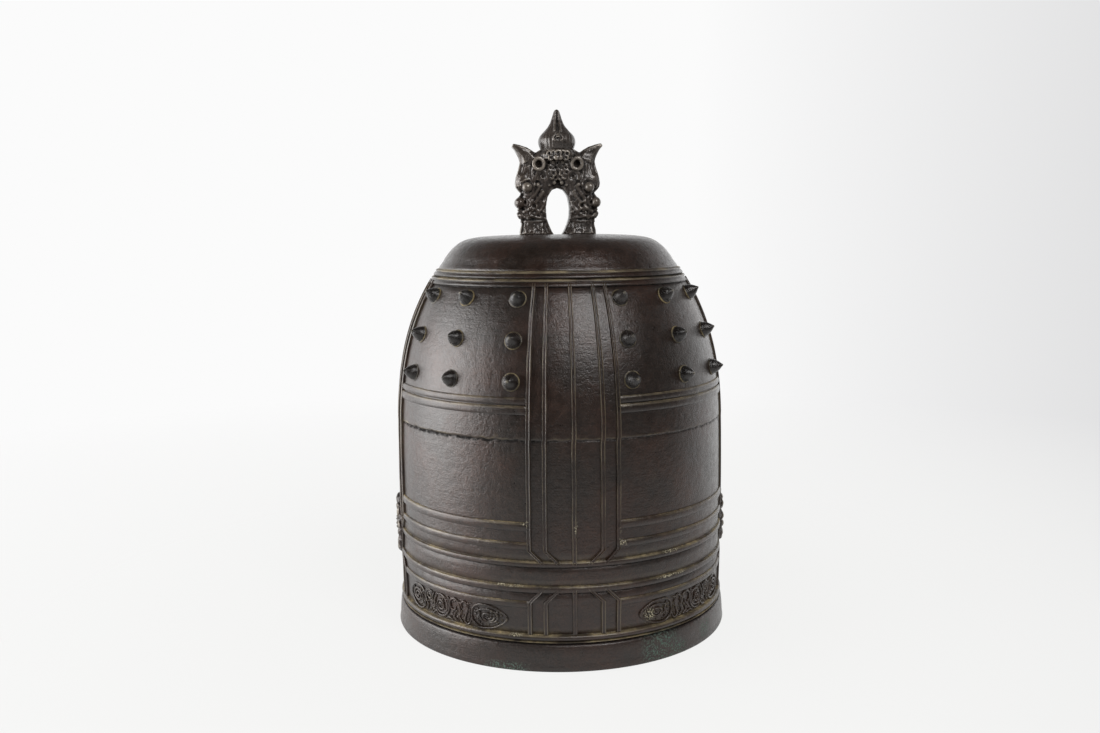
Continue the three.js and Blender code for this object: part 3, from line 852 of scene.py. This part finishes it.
def made_solid(strands):
    """Turns a list of strands into meshes, all at once."""
    pick(*strands)
    bpy.ops.object.convert(target="MESH")
    bpy.ops.object.shade_smooth()
    return list(bpy.context.selected_objects)


def on_panel(x, y):
    """A place on the flat panel, from millimetres off its middle."""
    return Matrix.Translation((x / 1000, vine_middle + y / 1000, 0))


def roughened(piece, *swells):
    """Moves a skin in and out by uneven swells, each given by its number to the metre and its height."""
    normals = [vertex.normal.copy() for vertex in piece.data.vertices]
    for vertex, normal in zip(piece.data.vertices, normals):
        vertex.co += normal * sum(rise * noise.noise(vertex.co * number) for number, rise in swells)


def flat_vine():
    """One panel's scrollwork, still flat: lines and knobs, and worn lumps between them."""
    strands = []
    for points in vine_lines:
        places = [(x / 1000, vine_middle + y / 1000, vine_lift) for x, y in points]
        from_end = [min(number, len(points) - 1 - number) for number in range(len(points))]
        thicknesses = [
            vine_thickness * min(1, 0.6 + 0.1 * steps) * (1 + 0.16 * noise.noise(Vector((x, y, 3)) / 2.5))
            for steps, (x, y) in zip(from_end, points)
        ]
        strands.append(strand_curve("vine", places, thicknesses))
    pieces = made_solid(strands)
    knob = round_boss(knob_size, knob_size, seed_shares, 12)
    for x, y in vine_knobs:
        pieces.append(another(knob, on_panel(x, y)))
    lump_random = random.Random(19)
    for _ in range(vine_lumps):
        x, y = lump_random.uniform(-62, 63), lump_random.uniform(-10, 10)
        # None lies outside the pointed ends of the two ovals
        if -30 < x < 34 or abs(y) < 10 * min(1, (65 - abs(x)) / 22):
            size = lump_random.uniform(0.5, 0.95)
            wide, tall = size * lump_random.uniform(0.8, 1.6), size * lump_random.uniform(0.8, 1.6)
            pieces.append(another(knob, on_panel(x, y) @ Matrix.Diagonal((wide, tall, size, 1))))
    bpy.data.objects.remove(knob)
    vine = joined("scrollwork", pieces)
    roughened(vine, (700, 0.00035))
    return marked(vine, vine_relief)


vine = flat_vine()
for bearing, mirror in ((45, 1), (315, -1), (135, -1), (225, 1)):
    scroll = another(vine, Matrix.Diagonal((mirror, 1, 1, 1)))
    if mirror < 0:
        scroll.data.flip_normals()
    stained(wrapped(scroll, bearing))
    scroll.name = f"scrollwork_{bearing}"
    scroll.data.materials.append(wall_bronze)
    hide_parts("bell_body")
    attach(scroll, "root")
bpy.data.objects.remove(vine)

# The thirty-six studs. Each was cast on its own, with a shank that is set into the
# wall, and is a low turned button that draws in to a blunt point.

stud_radius = 0.0073
stud_height = 0.0120
stud_gap = 0.0003
stud_top_drop = 0.011
stud_row_pitch = 0.0353
stud_bearings = [20, 42.8, 64.6]
# From under the foot, round its ring, to the point: shares of the radius and of the height
stud_shares = [
    (0, -0.02), (0.6, -0.02), (1.1, -0.02), (1.13, 0.02), (1.08, 0.04), (1, 0.03), (1.0, 0.1),
    (0.97, 0.17), (0.93, 0.2), (0.92, 0.24), (0.86, 0.36), (0.75, 0.5), (0.6, 0.63), (0.43, 0.75),
    (0.28, 0.84), (0.18, 0.91), (0.12, 0.965), (0.06, 0.99), (0, 1),
]
stud_bronze = patinated_bronze(
    "dark_stud_bronze", "#1e1a18", "#251c17", "#8f8776", "#a5946d", 0.27, streaks=0, grain=1.4)
stud_profile = [(stud_radius * radius, 0, stud_height * height) for radius, height in stud_shares]
one_stud = turned(drawn_line("stud_pattern", stud_profile), 28)
# Dust lies on the ring, and the point is painted lighter, as rubbed metal and as a painted highlight
stud_dust, stud_wear_and_highlight = marks_on(one_stud, "dust_and_highlight", "wear_and_highlight")
for vertex in one_stud.data.vertices:
    stud_dust[vertex.index].value = max(0.0, 2 - max(0.0, vertex.co.z) / (stud_height * 0.04))
    stud_wear_and_highlight[vertex.index].value = max(0.0, vertex.co.z / stud_height - 0.86) * 8
one_stud.data.materials.append(stud_bronze)

stud_random = random.Random(36)
panel_sides = [("front_right", 0, 1), ("front_left", 0, -1), ("rear_left", 180, 1), ("rear_right", 180, -1)]
for panel, centre, side in panel_sides:
    for row, row_name in enumerate(("top", "middle", "bottom")):
        for column, offset in enumerate(stud_bearings):
            height = shoulder_height - stud_top_drop - row * stud_row_pitch
            turn = math.radians(centre + side * offset)
            lean = math.atan((wall_at(height - stud_gap) - wall_at(height + stud_gap)) / (2 * stud_gap))
            radius = wall_at(height) + hand_made(turn, height)
            place = Matrix.Translation((radius * math.sin(turn), -radius * math.cos(turn), height))
            square = Matrix.Rotation(turn, 4, "Z") @ Matrix.Rotation(math.pi / 2 - lean, 4, "X")
            tip = Matrix.Rotation(math.radians(stud_random.uniform(-2.5, 2.5)), 4, "X")
            spin = Matrix.Rotation(stud_random.uniform(0, 2 * math.pi), 4, "Z")
            stud = another(one_stud, place @ square @ tip @ spin)
            stud.name = f"set_stud_{panel}_{row_name}_{column + 1}"
            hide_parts(f"stud_{panel}_{row_name}_{column + 1}")
            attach(stud, "root")
bpy.data.objects.remove(one_stud)

# The dragon loop: two heads back to back, cast on their own in lost wax, so their skin is full of tool marks.
# Its feet end in tenons that the crown was cast round. The metal is nearly black, and it shines on the balls
# of the eyes and noses, which are painted lighter as wear and as painted highlight; its hollows are painted
# darker as grime and as painted shade.

loop_foot = bell_height
loop_grain = 0.00059
head_half_depth = 0.0068
pit_depth = 0.0034
hair_locks = 46
rim_curls = 18
rim_half_width = 0.0152
rim_half_depth = 0.0108
# Outline of the right-hand head, from its foot round the horn to the jewel's seat, in millimetres
head_outline = [
    (14, 384.6), (37.8, 384.6), (37.4, 389), (36.4, 393), (35.8, 396.6), (36.3, 400.5), (39.4, 402.4),
    (40.4, 405.4), (38.2, 408.6), (38.4, 411), (41.9, 412.9), (42.8, 415.8), (41.4, 419.4),
    (37.6, 422.4), (35.9, 425.4), (38.6, 427.6), (41.0, 430.8), (41.8, 435), (40.9, 440.6),
    (38.9, 446.6), (36.9, 452), (36.6, 457.6), (38.4, 462.4), (41.2, 466.6), (44.6, 470.6),
    (42.8, 473.2), (36.8, 471.8), (30.7, 469.2), (25.4, 466), (21.4, 464.4), (16.5, 467.4), (0, 467.4),
]
# Outline of the arch, from its foot to its crown, in millimetres
arch_outline = [
    (3.4, 384), (5.9, 387.6), (8.6, 393.7), (11.0, 400.5), (11.7, 411.2), (9.9, 421.6), (5.6, 428.3),
    (0, 430.3),
]

loop_bronze = patinated_bronze(
    "black_loop_bronze", "#443d38", "#463830", "#b0a597", "#5c4c3a", 0.27, streaks=0, grain=0.5)


def cut_slab(name, points, half_depth):
    """A flat slab with a drawn outline in millimetres, as thick on both sides of the middle plane."""
    slab = drawn_line(name, [(x / 1000, -half_depth, z / 1000) for x, z in points + [points[0]]])
    bpy.ops.object.mode_set(mode="EDIT")
    bpy.ops.mesh.select_all(action="SELECT")
    bpy.ops.mesh.remove_doubles(threshold=0.00001)
    bpy.ops.mesh.edge_face_add()
    bpy.ops.mesh.extrude_region_move(TRANSFORM_OT_translate={"value": (0, 2 * half_depth, 0)})
    finish_form()
    return slab


def rubbed_grimy_and_painted_light(piece, rounds=34, depth=0.00050):
    """Marks the crests of a carved skin as worn and painted lighter as highlight, and its hollows as grimy
    and painted darker as shade, against an evened copy of it.
    """
    mesh = piece.data
    count = len(mesh.vertices)
    places = numpy.empty(count * 3)
    mesh.vertices.foreach_get("co", places)
    places = places.reshape(-1, 3)
    normals = numpy.empty(count * 3)
    mesh.vertices.foreach_get("normal", normals)
    ends = numpy.empty(len(mesh.edges) * 2, dtype=int)
    mesh.edges.foreach_get("vertices", ends)
    near_end, far_end = ends.reshape(-1, 2).T
    neighbours = numpy.bincount(ends, minlength=count)
    evened = places.copy()
    for _ in range(rounds):
        for axis in range(3):
            around = numpy.bincount(near_end, evened[far_end, axis], count)
            around += numpy.bincount(far_end, evened[near_end, axis], count)
            evened[:, axis] = (evened[:, axis] + around / neighbours) / 2
    rise = ((places - evened) * normals.reshape(-1, 3)).sum(axis=1) / depth
    wear_and_highlight, grime_and_shade = marks_on(piece, "wear_and_highlight", "grime_and_shade")
    wear_and_highlight.foreach_set("value", numpy.clip(rise - 0.3, 0, 1).astype(numpy.float32))
    grime_and_shade.foreach_set("value", numpy.clip(-1.6 * rise - 0.1, 0, 1).astype(numpy.float32))


def cast_whole(name, pieces, grain):
    """Joins carved pieces into one skin, as a casting has, and softens its edges a little."""
    whole = joined(name, pieces)
    bpy.ops.object.modifier_add(type="REMESH")
    whole.modifiers[-1].mode = "VOXEL"
    whole.modifiers[-1].voxel_size = grain
    bpy.ops.object.modifier_apply(modifier=whole.modifiers[-1].name)
    bpy.ops.object.modifier_add(type="SMOOTH")
    whole.modifiers[-1].factor = 0.5
    whole.modifiers[-1].iterations = 2
    bpy.ops.object.modifier_apply(modifier=whole.modifiers[-1].name)
    bpy.ops.object.shade_smooth()
    whole.data.materials.clear()
    return whole


left_outline = [(-x, z) for x, z in head_outline[::-1]]
whole_outline = head_outline + left_outline[1:] + [(-x, z) for x, z in arch_outline] + arch_outline[-2::-1]
dragon = cut_slab("dragon_heads", whole_outline, head_half_depth)
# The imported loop, without its tenons, is the core that the carving lies on
core = another(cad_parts["dragon_loop"], Matrix.Identity(4))
pick(core)
bpy.ops.object.mode_set(mode="EDIT")
bpy.ops.mesh.select_all(action="SELECT")
bpy.ops.mesh.remove_doubles(threshold=0.000001)
bpy.ops.mesh.bisect(
    plane_co=(0, 0, loop_foot - 0.0004), plane_no=(0, 0, 1), use_fill=True, clear_inner=True)
bpy.ops.object.mode_set(mode="OBJECT")
face_probe = BVHTree.FromObject(core, bpy.context.evaluated_depsgraph_get())


def front_of(probe, x, z, otherwise):
    """How far a piece's front stands before the middle plane at a place in millimetres, or else this far."""
    hit = probe.ray_cast(Vector((x / 1000, -0.1, z / 1000)), Vector((0, 1, 0)))[0]
    return -hit.y if hit else otherwise


def both_heads(x, z):
    """A place on the front of the right-hand head, and its like on the other three faces."""
    out = front_of(face_probe, x, z, head_half_depth)
    return [(side * x / 1000, -face * out, z / 1000, face) for side in (-1, 1) for face in (-1, 1)]


deselect()
bpy.ops.mesh.primitive_uv_sphere_add(segments=16, ring_count=10, radius=0.001, location=(0, 0, 0))
ball_pattern = bpy.context.object
carvings = []
strands = []


def ball(x, z, radius, sink=0.4, squash=0.8):
    """A ball on all four faces, sunk into each by a share of its radius."""
    shape = Matrix.Diagonal((radius, radius * squash, radius, 1))
    for px, py, pz, face in both_heads(x, z):
        place = Matrix.Translation((px, py + face * radius * sink / 1000, pz))
        carvings.append(another(ball_pattern, place @ shape))


def ring(x, z, radius, thickness, squash=1.0, lift=0.0):
    """A round hoop laid on all four faces."""
    deselect()
    bpy.ops.mesh.primitive_torus_add(
        major_segments=28, minor_segments=8, major_radius=radius / 1000, minor_radius=thickness / 1000,
        location=(0, 0, 0), rotation=(0, 0, 0))
    hoop = bpy.context.object
    shape = Matrix.Diagonal((1, 1, squash, 1)) @ Matrix.Rotation(math.pi / 2, 4, "X")
    for px, py, pz, face in both_heads(x, z):
        carvings.append(another(hoop, Matrix.Translation((px, py - face * lift / 1000, pz)) @ shape))
    bpy.data.objects.remove(hoop)


def tapered(line, thick, thin):
    """Thicknesses along a line, from one to another in millimetres."""
    last = len(line) - 1
    return [(thick + (thin - thick) * number / last) / 1000 for number in range(len(line))]


def strand(points, thick, thin, lift=0.3, even=0):
    """A tapering strand along a line on all four faces, in millimetres, evened over the steps of the face."""
    line = smooth_line(points, 5)
    fronts = [front_of(face_probe, x, z, head_half_depth) - lift / 1000 for x, z in line]
    windows = [fronts[max(0, at - even):at + even + 1] for at in range(len(line))]
    outs = [sum(window) / len(window) for window in windows]
    for side in (-1, 1):
        for face in (-1, 1):
            places = [(side * x / 1000, -face * out, z / 1000) for (x, z), out in zip(line, outs)]
            strands.append(strand_curve("strand", places, tapered(line, thick, thin)))


# The plume that sweeps from the brow up to the horn's tip
plume_out = [(40.2, 431), (40.4, 438), (37.6, 448), (36.2, 456), (38.6, 463), (43.0, 470.6)]
plume_in = [(27.5, 434), (27.0, 441), (25.6, 449), (25.2, 456), (28.6, 462.6), (37.8, 470.2)]
for share in (0.02, 0.17, 0.33, 0.5, 0.67, 0.84, 1):
    line = [(a + (c - a) * share, b + (d - b) * share) for (a, b), (c, d) in zip(plume_out, plume_in)]
    strand(line, 1.4, 0.8, 0.8, 5)
strand([(26.6, 465.4), (33, 468.6), (41.6, 471.8)], 1.2, 0.8, 0.2)
# The eye's ball and its lid, the brow's fold and the cheek's long crease
ball(30.4, 430.6, 4.9, 0, 1)
strand([(24.6, 428), (26.4, 424.4), (31.4, 424.6), (35.2, 427.2)], 1.3, 1.0)
strand([(24.4, 430), (25, 436.4), (30, 438.6), (36, 435.6)], 1.4, 1.1)
# Bold rolls that run down and out from the mane, over the cheek, to the mouth
strand([(18.8, 446.4), (22, 440), (24, 432), (25.4, 424.6)], 2.2, 1.4, 0.5)
strand([(17.6, 432.6), (22.4, 424.6), (27.4, 418.4), (31, 413)], 2.2, 1.5, 0.6)
strand([(14.6, 427.2), (19.6, 419), (26.4, 411.6), (34, 406.4), (38, 404.6)], 2.3, 1.6, 0.6)
strand([(13.4, 417.4), (16.6, 410), (22.4, 404.4), (30, 401.8), (36.6, 401.2)], 2.0, 1.4, 0.5)
strand([(23.4, 455), (24.6, 446), (24.2, 436), (24.8, 424), (24.2, 414)], 1.4, 1.0, 0.2)
strand([(27.8, 452), (28.2, 444), (27.8, 437)], 1.2, 0.8, 0.2)
# Whorls of the mane, with deep eyes
ring(18.6, 453.2, 4.9, 2.0, 1.08, 1.2)
hooked = [(20.2, 437.6), (19.4, 443.6), (14.6, 446.2), (10.4, 443.2), (10.6, 438.4), (13.8, 436.6)]
strand(hooked, 2.0, 1.2, 0.6)
ball(15.0, 440.6, 2.2, 0)
ring(23.6, 413.2, 2.9, 1.1)
ring(32.6, 416.2, 3.0, 1.1)
ball(32.6, 416.2, 1.2, 0.2)
# Nose, lips and teeth
ball(37.2, 416, 5.4, 0.3, 1.2)
strand([(38.6, 410.4), (34.6, 407.4), (29.6, 408.6), (24.6, 410.6), (19.8, 407.8)], 1.9, 1.4, 0.2)
strand([(38.4, 405.6), (33.4, 402.4), (27, 402.8), (20.6, 401.4), (14.4, 400.6)], 2.0, 1.3, 0.2)
strand([(37.6, 421.6), (32.6, 421.6), (27.8, 418.8), (27.4, 413.4)], 1.4, 1.0, 0.2)
for tooth in range(5):
    ball(24 + 2.9 * tooth, 405.6 + 0.3 * tooth, 1.3, 0.1)
# The collar where the neck meets the foot, and three low folds of the foot
strand([(36.4, 398.4), (30, 397.4), (22, 397.6), (11.4, 398.6)], 1.5, 1.2, 0.2)
for side_step in range(3):
    top = 15.6 + 8.4 * side_step
    strand([(top, 396), (top * 1.04 - 0.6, 385.6)], 0.9, 1.5, 0.5)
# Curls of the mane over the arch
curl_random = random.Random(8)
for row, z in enumerate((435.6, 440.2, 444.8, 449.4, 454, 458.6, 463)):
    for column in range(4):
        x = 4.6 * column + (2.3 if row % 2 else 0)
        if x > 12.4 or (x > 8.5 and 431 < z < 443) or (x > 10.4 and z > 446):
            continue
        across = x + curl_random.uniform(-0.7, 0.7)
        up = z + curl_random.uniform(-0.8, 0.8)
        if curl_random.random() < 0.55:
            ring(max(across, 0.4), up, curl_random.uniform(1.8, 2.4), 1.1)
        else:
            ball(max(across, 0.4), up, curl_random.uniform(2.0, 2.9), 0)
# Scales of the neck beside the arch
for row in range(8):
    for column in range(2):
        ball(15.2 + 4.2 * column + (2.1 if row % 2 else 0), 404.6 + 3.3 * row, 2.1, 0.55, 0.7)
# Half width of the arch at each height, to keep the hair clear of it
arch_edge = [(384, 4), (393.7, 8.6), (411, 11.7), (421.6, 9.9), (430.3, 5), (434, 0), (500, 0)]
# Lumps and short locks of hair that fill the rest of the heads
for _ in range(hair_locks):
    x, z = curl_random.uniform(3, 34), curl_random.uniform(386, 434)
    plume = x > 25.4 and z > 427
    arch = x < read_off(arch_edge, z) + 2.4
    mane_whorl = math.hypot(x - 18.6, z - 453.2) < 7 or math.hypot(x - 15, z - 438) < 5
    nose_or_eye = math.hypot(x - 37.6, z - 416) < 7.5 or math.hypot(x - 29.6, z - 431.4) < 6
    collar_end = z < 398 and x > 33
    if plume or arch or mane_whorl or nose_or_eye or collar_end:
        continue
    if curl_random.random() < 0.45:
        ball(x, z, curl_random.uniform(1.4, 2.4 if z > 398 else 1.3), 0.1, 1)
    else:
        lean, bend = curl_random.uniform(0, math.pi), curl_random.uniform(-2, 2)
        along = Vector((math.cos(lean), math.sin(lean))) * curl_random.uniform(2, 3.4)
        sag = Vector((-along.y, along.x)).normalized() * bend
        lock = [(x - along.x, z - along.y), (x + sag.x, z + sag.y), (x + along.x, z + along.y)]
        strand(lock, 1.5, 0.9, 0.6)
# The bead along the arch's edge
arch_bead = [(x + 1.5, z) for x, z in arch_outline[1:-2]] + [(7.2, 429.2), (3.4, 431.6), (0, 432.4)]
strand(arch_bead, 1.3, 1.3, 0.2)
# The uneven rim of curls under the jewel
for curl in range(rim_curls):
    turn = 2 * math.pi * (curl + curl_random.uniform(0.2, 0.8)) / rim_curls
    level = curl_random.uniform(0.4622, 0.4640)
    place = Matrix.Translation((rim_half_width * math.sin(turn), rim_half_depth * math.cos(turn), level))
    size = curl_random.uniform(1.7, 2.6)
    carvings.append(another(ball_pattern, place @ Matrix.Diagonal((size, size, size * 0.8, 1))))

dragon = cast_whole("dragon_heads", [dragon, core] + carvings + made_solid(strands), loop_grain)
bpy.data.objects.remove(ball_pattern)
# Deep pits in the whorls' eyes and nostrils, in millimetres: place and width. Dust gathers in them
pits = [(18.6, 453.2, 2.3), (14.8, 441, 1.6), (32.6, 416.2, 0.9), (23.6, 413.2, 1.5)]
loop_dust = marks_on(dragon, "dust_and_highlight")[0]
sunk = []
for vertex in dragon.data.vertices:
    x, y, z = abs(vertex.co.x) * 1000, vertex.co.y, vertex.co.z * 1000
    share = min(sum(math.exp(-((x - px) ** 2 + (z - pz) ** 2) / width ** 2) for px, pz, width in pits), 1)
    loop_dust[vertex.index].value = share * 0.35
    sunk.append(math.copysign(pit_depth, y) * share if abs(y) > 0.004 else 0)
roughened(dragon, (420, 0.00013), (1100, 0.00004))
for vertex, depth in zip(dragon.data.vertices, sunk):
    vertex.co.y -= depth
# Crests painted lighter and hollows darker, as wear and grime and as painted highlight and painted shade
rubbed_grimy_and_painted_light(dragon)
# Painted shade darkens the recess over the arch, under the cheeks and behind the noses: its place, width and
# height
recess_shades = [
    (0, 434, 9, 4.6), (36.5, 424.6, 3.4, 2.2), (34.4, 409.4, 4.4, 1.6), (36.6, 399.2, 5, 1.2),
    (24.2, 399.4, 12, 1.2),
]
loop_grime_and_shade = dragon.data.attributes["grime_and_shade"].data
for vertex in dragon.data.vertices:
    x, z = abs(vertex.co.x) * 1000, vertex.co.z * 1000
    recess_shade = max(math.exp(-((x - px) / wide) ** 2 - ((z - pz) / tall) ** 2) for px, pz, wide, tall in recess_shades)
    loop_grime_and_shade[vertex.index].value = max(loop_grime_and_shade[vertex.index].value, 0.9 * recess_shade)
dragon.data.materials.append(loop_bronze)
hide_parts("dragon_loop")
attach(dragon, "root")

# The flame jewel that crowns the loop: a bulb that runs up to a point, with a pair of
# ridges down its front and back to a small boss, let into the loop with a spigot.

jewel_foot = 0.4650
jewel_grain = 0.00045
jewel_tip_depth = 0.003
# Radius and height over its foot, in millimetres
jewel_outline = [
    (0, 0), (14.4, 0), (15.6, 0.8), (16.4, 2.4), (17.4, 5), (18.2, 7.8), (18.4, 10.2), (18.0, 12.6),
    (16.9, 15.2), (15.0, 17.6), (12.4, 20.2), (9.9, 23), (8.0, 25.6), (6.5, 28.4), (5.4, 31.2),
    (4.5, 34), (3.6, 36.8), (2.9, 38.8), (2.0, 40.4), (0.9, 41.2), (0, 41.4),
]
jewel_profile = [(x / 1000, 0, jewel_foot + z / 1000) for x, z in jewel_outline]
jewel = turned(drawn_line("flame_jewel_bulb", jewel_profile), 64)
jewel_probe = BVHTree.FromObject(jewel, bpy.context.evaluated_depsgraph_get())
ridges = []


def jewel_ridge(points, thick, thin, lift=0.0):
    """A ridge over the bulb's front and back, along a line of points in millimetres."""
    line = smooth_line(points, 5)
    outs = [front_of(jewel_probe, x, z, jewel_tip_depth) + lift for x, z in line]
    for face in (-1, 1):
        places = [(x / 1000, -face * out, z / 1000) for (x, z), out in zip(line, outs)]
        ridges.append(strand_curve("ridge", places, tapered(line, thick, thin)))


for side in (-1, 1):
    # One of the pair of ridges down from the point, and the arm of the boss that it ends in
    ridge = [(1.1, 504.6), (1.8, 498), (2.4, 491), (2.9, 484)]
    jewel_ridge([(side * x, z) for x, z in ridge], 1.0, 1.3, 0.0005)
    arm = [(1.4, 482.4), (3.4, 480), (4.6, 476.6), (2.4, 475)]
    jewel_ridge([(side * x, z) for x, z in arm], 1.1, 0.9)
    # Fine lines that part the tongues of the flame
    for out in (5.0, 8.2, 11.2, 13.8):
        tongue = [(0.42, 495 - out * 0.3), (0.86, 486 - out * 0.2), (1, 478), (0.94, 469)]
        jewel_ridge([(side * out * x, z) for x, z in tongue], 0.3, 0.4)
jewel_ridge([(0, 481), (0, 477.6)], 1.8, 2.3, 0.0006)
jewel = cast_whole("flame_jewel_bulb", [jewel] + made_solid(ridges), jewel_grain)
roughened(jewel, (420, 0.00012), (1000, 0.00005))
# Its crests are painted lighter and its hollows darker, as wear and grime and as painted highlight and
# painted shade
rubbed_grimy_and_painted_light(jewel)
jewel.data.materials.append(loop_bronze)
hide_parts("flame_jewel")
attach(jewel, "root")

# The photographer's room: white paper underneath that has no edge, white walls behind
# and beside the bell, a dim ceiling and a dim room on the camera's side, a large soft
# lamp on the left and a weaker one high on the right.

paper_glow = 0.86
paper_shine = 0.45
paper_fade = (0.3, 1.5)
fill_level = 0.34


def seen_by_camera(tree):
    """A tree's light path, and whether a ray is the camera's own, straight or through glass."""
    ray = add(tree, "ShaderNodeLightPath").outputs
    seen = add(
        tree, "ShaderNodeMath", {0: ray["Is Camera Ray"], 1: ray["Is Transmission Ray"]}, operation="MAXIMUM")
    return ray, seen.outputs[0]


deselect()
bpy.ops.mesh.primitive_circle_add(vertices=96, radius=3, fill_type="NGON")
floor = bpy.context.object
floor.name = "studio_floor"
floor_paper = bpy.data.materials.new("white_paper")
tree = bare_tree(floor_paper)
ray, seen = seen_by_camera(tree)
# The paper is overexposed where the camera sees it, and less than half as bright in the bronze's mirror
mirrored = add(tree, "ShaderNodeMath", {0: ray["Is Glossy Ray"], 1: paper_shine}, operation="MULTIPLY")
lit = add(tree, "ShaderNodeMath", {0: seen, 1: mirrored.outputs[0]}, operation="MAXIMUM")
bright = add(tree, "ShaderNodeMath", {0: lit.outputs[0], 1: paper_glow}, operation="MULTIPLY")
paper = add(tree, "ShaderNodeBsdfDiffuse", {"Color": linear("#cfcfce")})
glow = add(tree, "ShaderNodeEmission", {"Color": linear("#fcfcfb"), "Strength": 1})
lit_paper = add(
    tree, "ShaderNodeMixShader", {0: bright.outputs[0], 1: paper.outputs[0], 2: glow.outputs[0]})
# Away from the bell the paper fades into the room
place = add(tree, "ShaderNodeTexCoord").outputs["Object"]
away = add(tree, "ShaderNodeVectorMath", {0: place}, operation="LENGTH")
far = add(
    tree, "ShaderNodeMapRange",
    {"Value": away.outputs["Value"], "From Min": paper_fade[0], "From Max": paper_fade[1]},
)
gone = add(tree, "ShaderNodeBsdfTransparent")
mixed = add(tree, "ShaderNodeMixShader", {0: far.outputs[0], 1: lit_paper.outputs[0], 2: gone.outputs[0]})
add(tree, "ShaderNodeOutputMaterial", {"Surface": mixed.outputs[0]})
floor.data.materials.append(floor_paper)

room = bpy.data.worlds.new("bright_room")
bpy.context.scene.world = room
tree = bare_tree(room)
ray, seen = seen_by_camera(tree)
# What the camera sees is paper white on the left and a little greyer on the right
toward = add(tree, "ShaderNodeSeparateXYZ", {0: add(tree, "ShaderNodeTexCoord").outputs["Generated"]})
aside = add(tree, "ShaderNodeMapRange", {"Value": toward.outputs["X"], "From Min": 0.2, "From Max": 0.62})
wall_tone = add(
    tree, "ShaderNodeMix",
    {0: aside.outputs[0], 6: linear("#fbfbfb"), 7: linear("#d9d9da")}, data_type="RGBA",
)
# What the bronze mirrors is bright behind and beside it, and dim on the camera's side and above
behind = add(
    tree, "ShaderNodeMapRange",
    {"Value": toward.outputs["Y"], "From Min": -0.2, "From Max": 0.66, "To Min": 0.04, "To Max": 1},
    interpolation_type="SMOOTHSTEP",
)
above = add(
    tree, "ShaderNodeMapRange",
    {"Value": toward.outputs["Z"], "From Min": 0.15, "From Max": 0.6, "To Min": 1, "To Max": 0.12},
    interpolation_type="SMOOTHSTEP",
)
shine_level = add(tree, "ShaderNodeMath", {0: behind.outputs[0], 1: above.outputs[0]}, operation="MULTIPLY")
seen_wall = add(tree, "ShaderNodeBackground", {"Color": wall_tone.outputs[2], "Strength": 1})
shine = add(tree, "ShaderNodeBackground", {"Color": linear("#ffffff"), "Strength": shine_level.outputs[0]})
soft_fill = add(tree, "ShaderNodeBackground", {"Color": linear("#ffffff"), "Strength": fill_level})
mirrored = add(
    tree, "ShaderNodeMixShader", {0: ray["Is Glossy Ray"], 1: soft_fill.outputs[0], 2: shine.outputs[0]})
chosen = add(tree, "ShaderNodeMixShader", {0: seen, 1: mirrored.outputs[0], 2: seen_wall.outputs[0]})
add(tree, "ShaderNodeOutputWorld", {"Surface": chosen.outputs[0]})


def soft_lamp(name, place, size, power):
    """A square soft lamp that looks at the middle of the bell."""
    deselect()
    bpy.ops.object.light_add(type="AREA", location=place)
    lamp = bpy.context.object
    lamp.name = name
    lamp.data.shape = "SQUARE"
    lamp.data.size = size
    lamp.data.energy = power
    aim = Vector((0, 0, bell_height / 2)) - Vector(place)
    lamp.rotation_euler = aim.to_track_quat("-Z", "Y").to_euler()


soft_lamp("left_softbox", (-1.7, -0.1, 0.40), 1.5, 33)
soft_lamp("high_softbox", (0.55, -1.35, 1.45), 0.8, 15.5)

# The camera stands a little to the left of the front band, just above the crown, and
# looks slightly down, with a 35 mm lens.

deselect()
bpy.ops.object.camera_add()
camera = bpy.context.object
camera.name = "photograph_camera"
camera.data.lens = 35
camera.data.sensor_width = 36
camera_bearing = math.radians(3.9)
camera_distance = 1.0708
camera_height = 0.3905
camera_aside = -0.00894
camera_pitch = math.radians(7.34)
camera_roll = math.radians(-0.60)
level_right = Vector((math.cos(camera_bearing), -math.sin(camera_bearing), 0))
level_ahead = Vector((math.sin(camera_bearing), math.cos(camera_bearing), 0))
ahead = level_ahead * math.cos(camera_pitch) - Vector((0, 0, math.sin(camera_pitch)))
level_up = level_right.cross(ahead)
right = level_right * math.cos(camera_roll) + level_up * math.sin(camera_roll)
up = right.cross(ahead)
stand = level_right * camera_aside - level_ahead * camera_distance + Vector((0, 0, camera_height))
turned_frame = Matrix((right, up, -ahead)).transposed().to_4x4()
camera.matrix_world = Matrix.Translation(stand) @ turned_frame
bpy.context.scene.camera = camera
bpy.context.scene.view_settings.view_transform = "Standard"
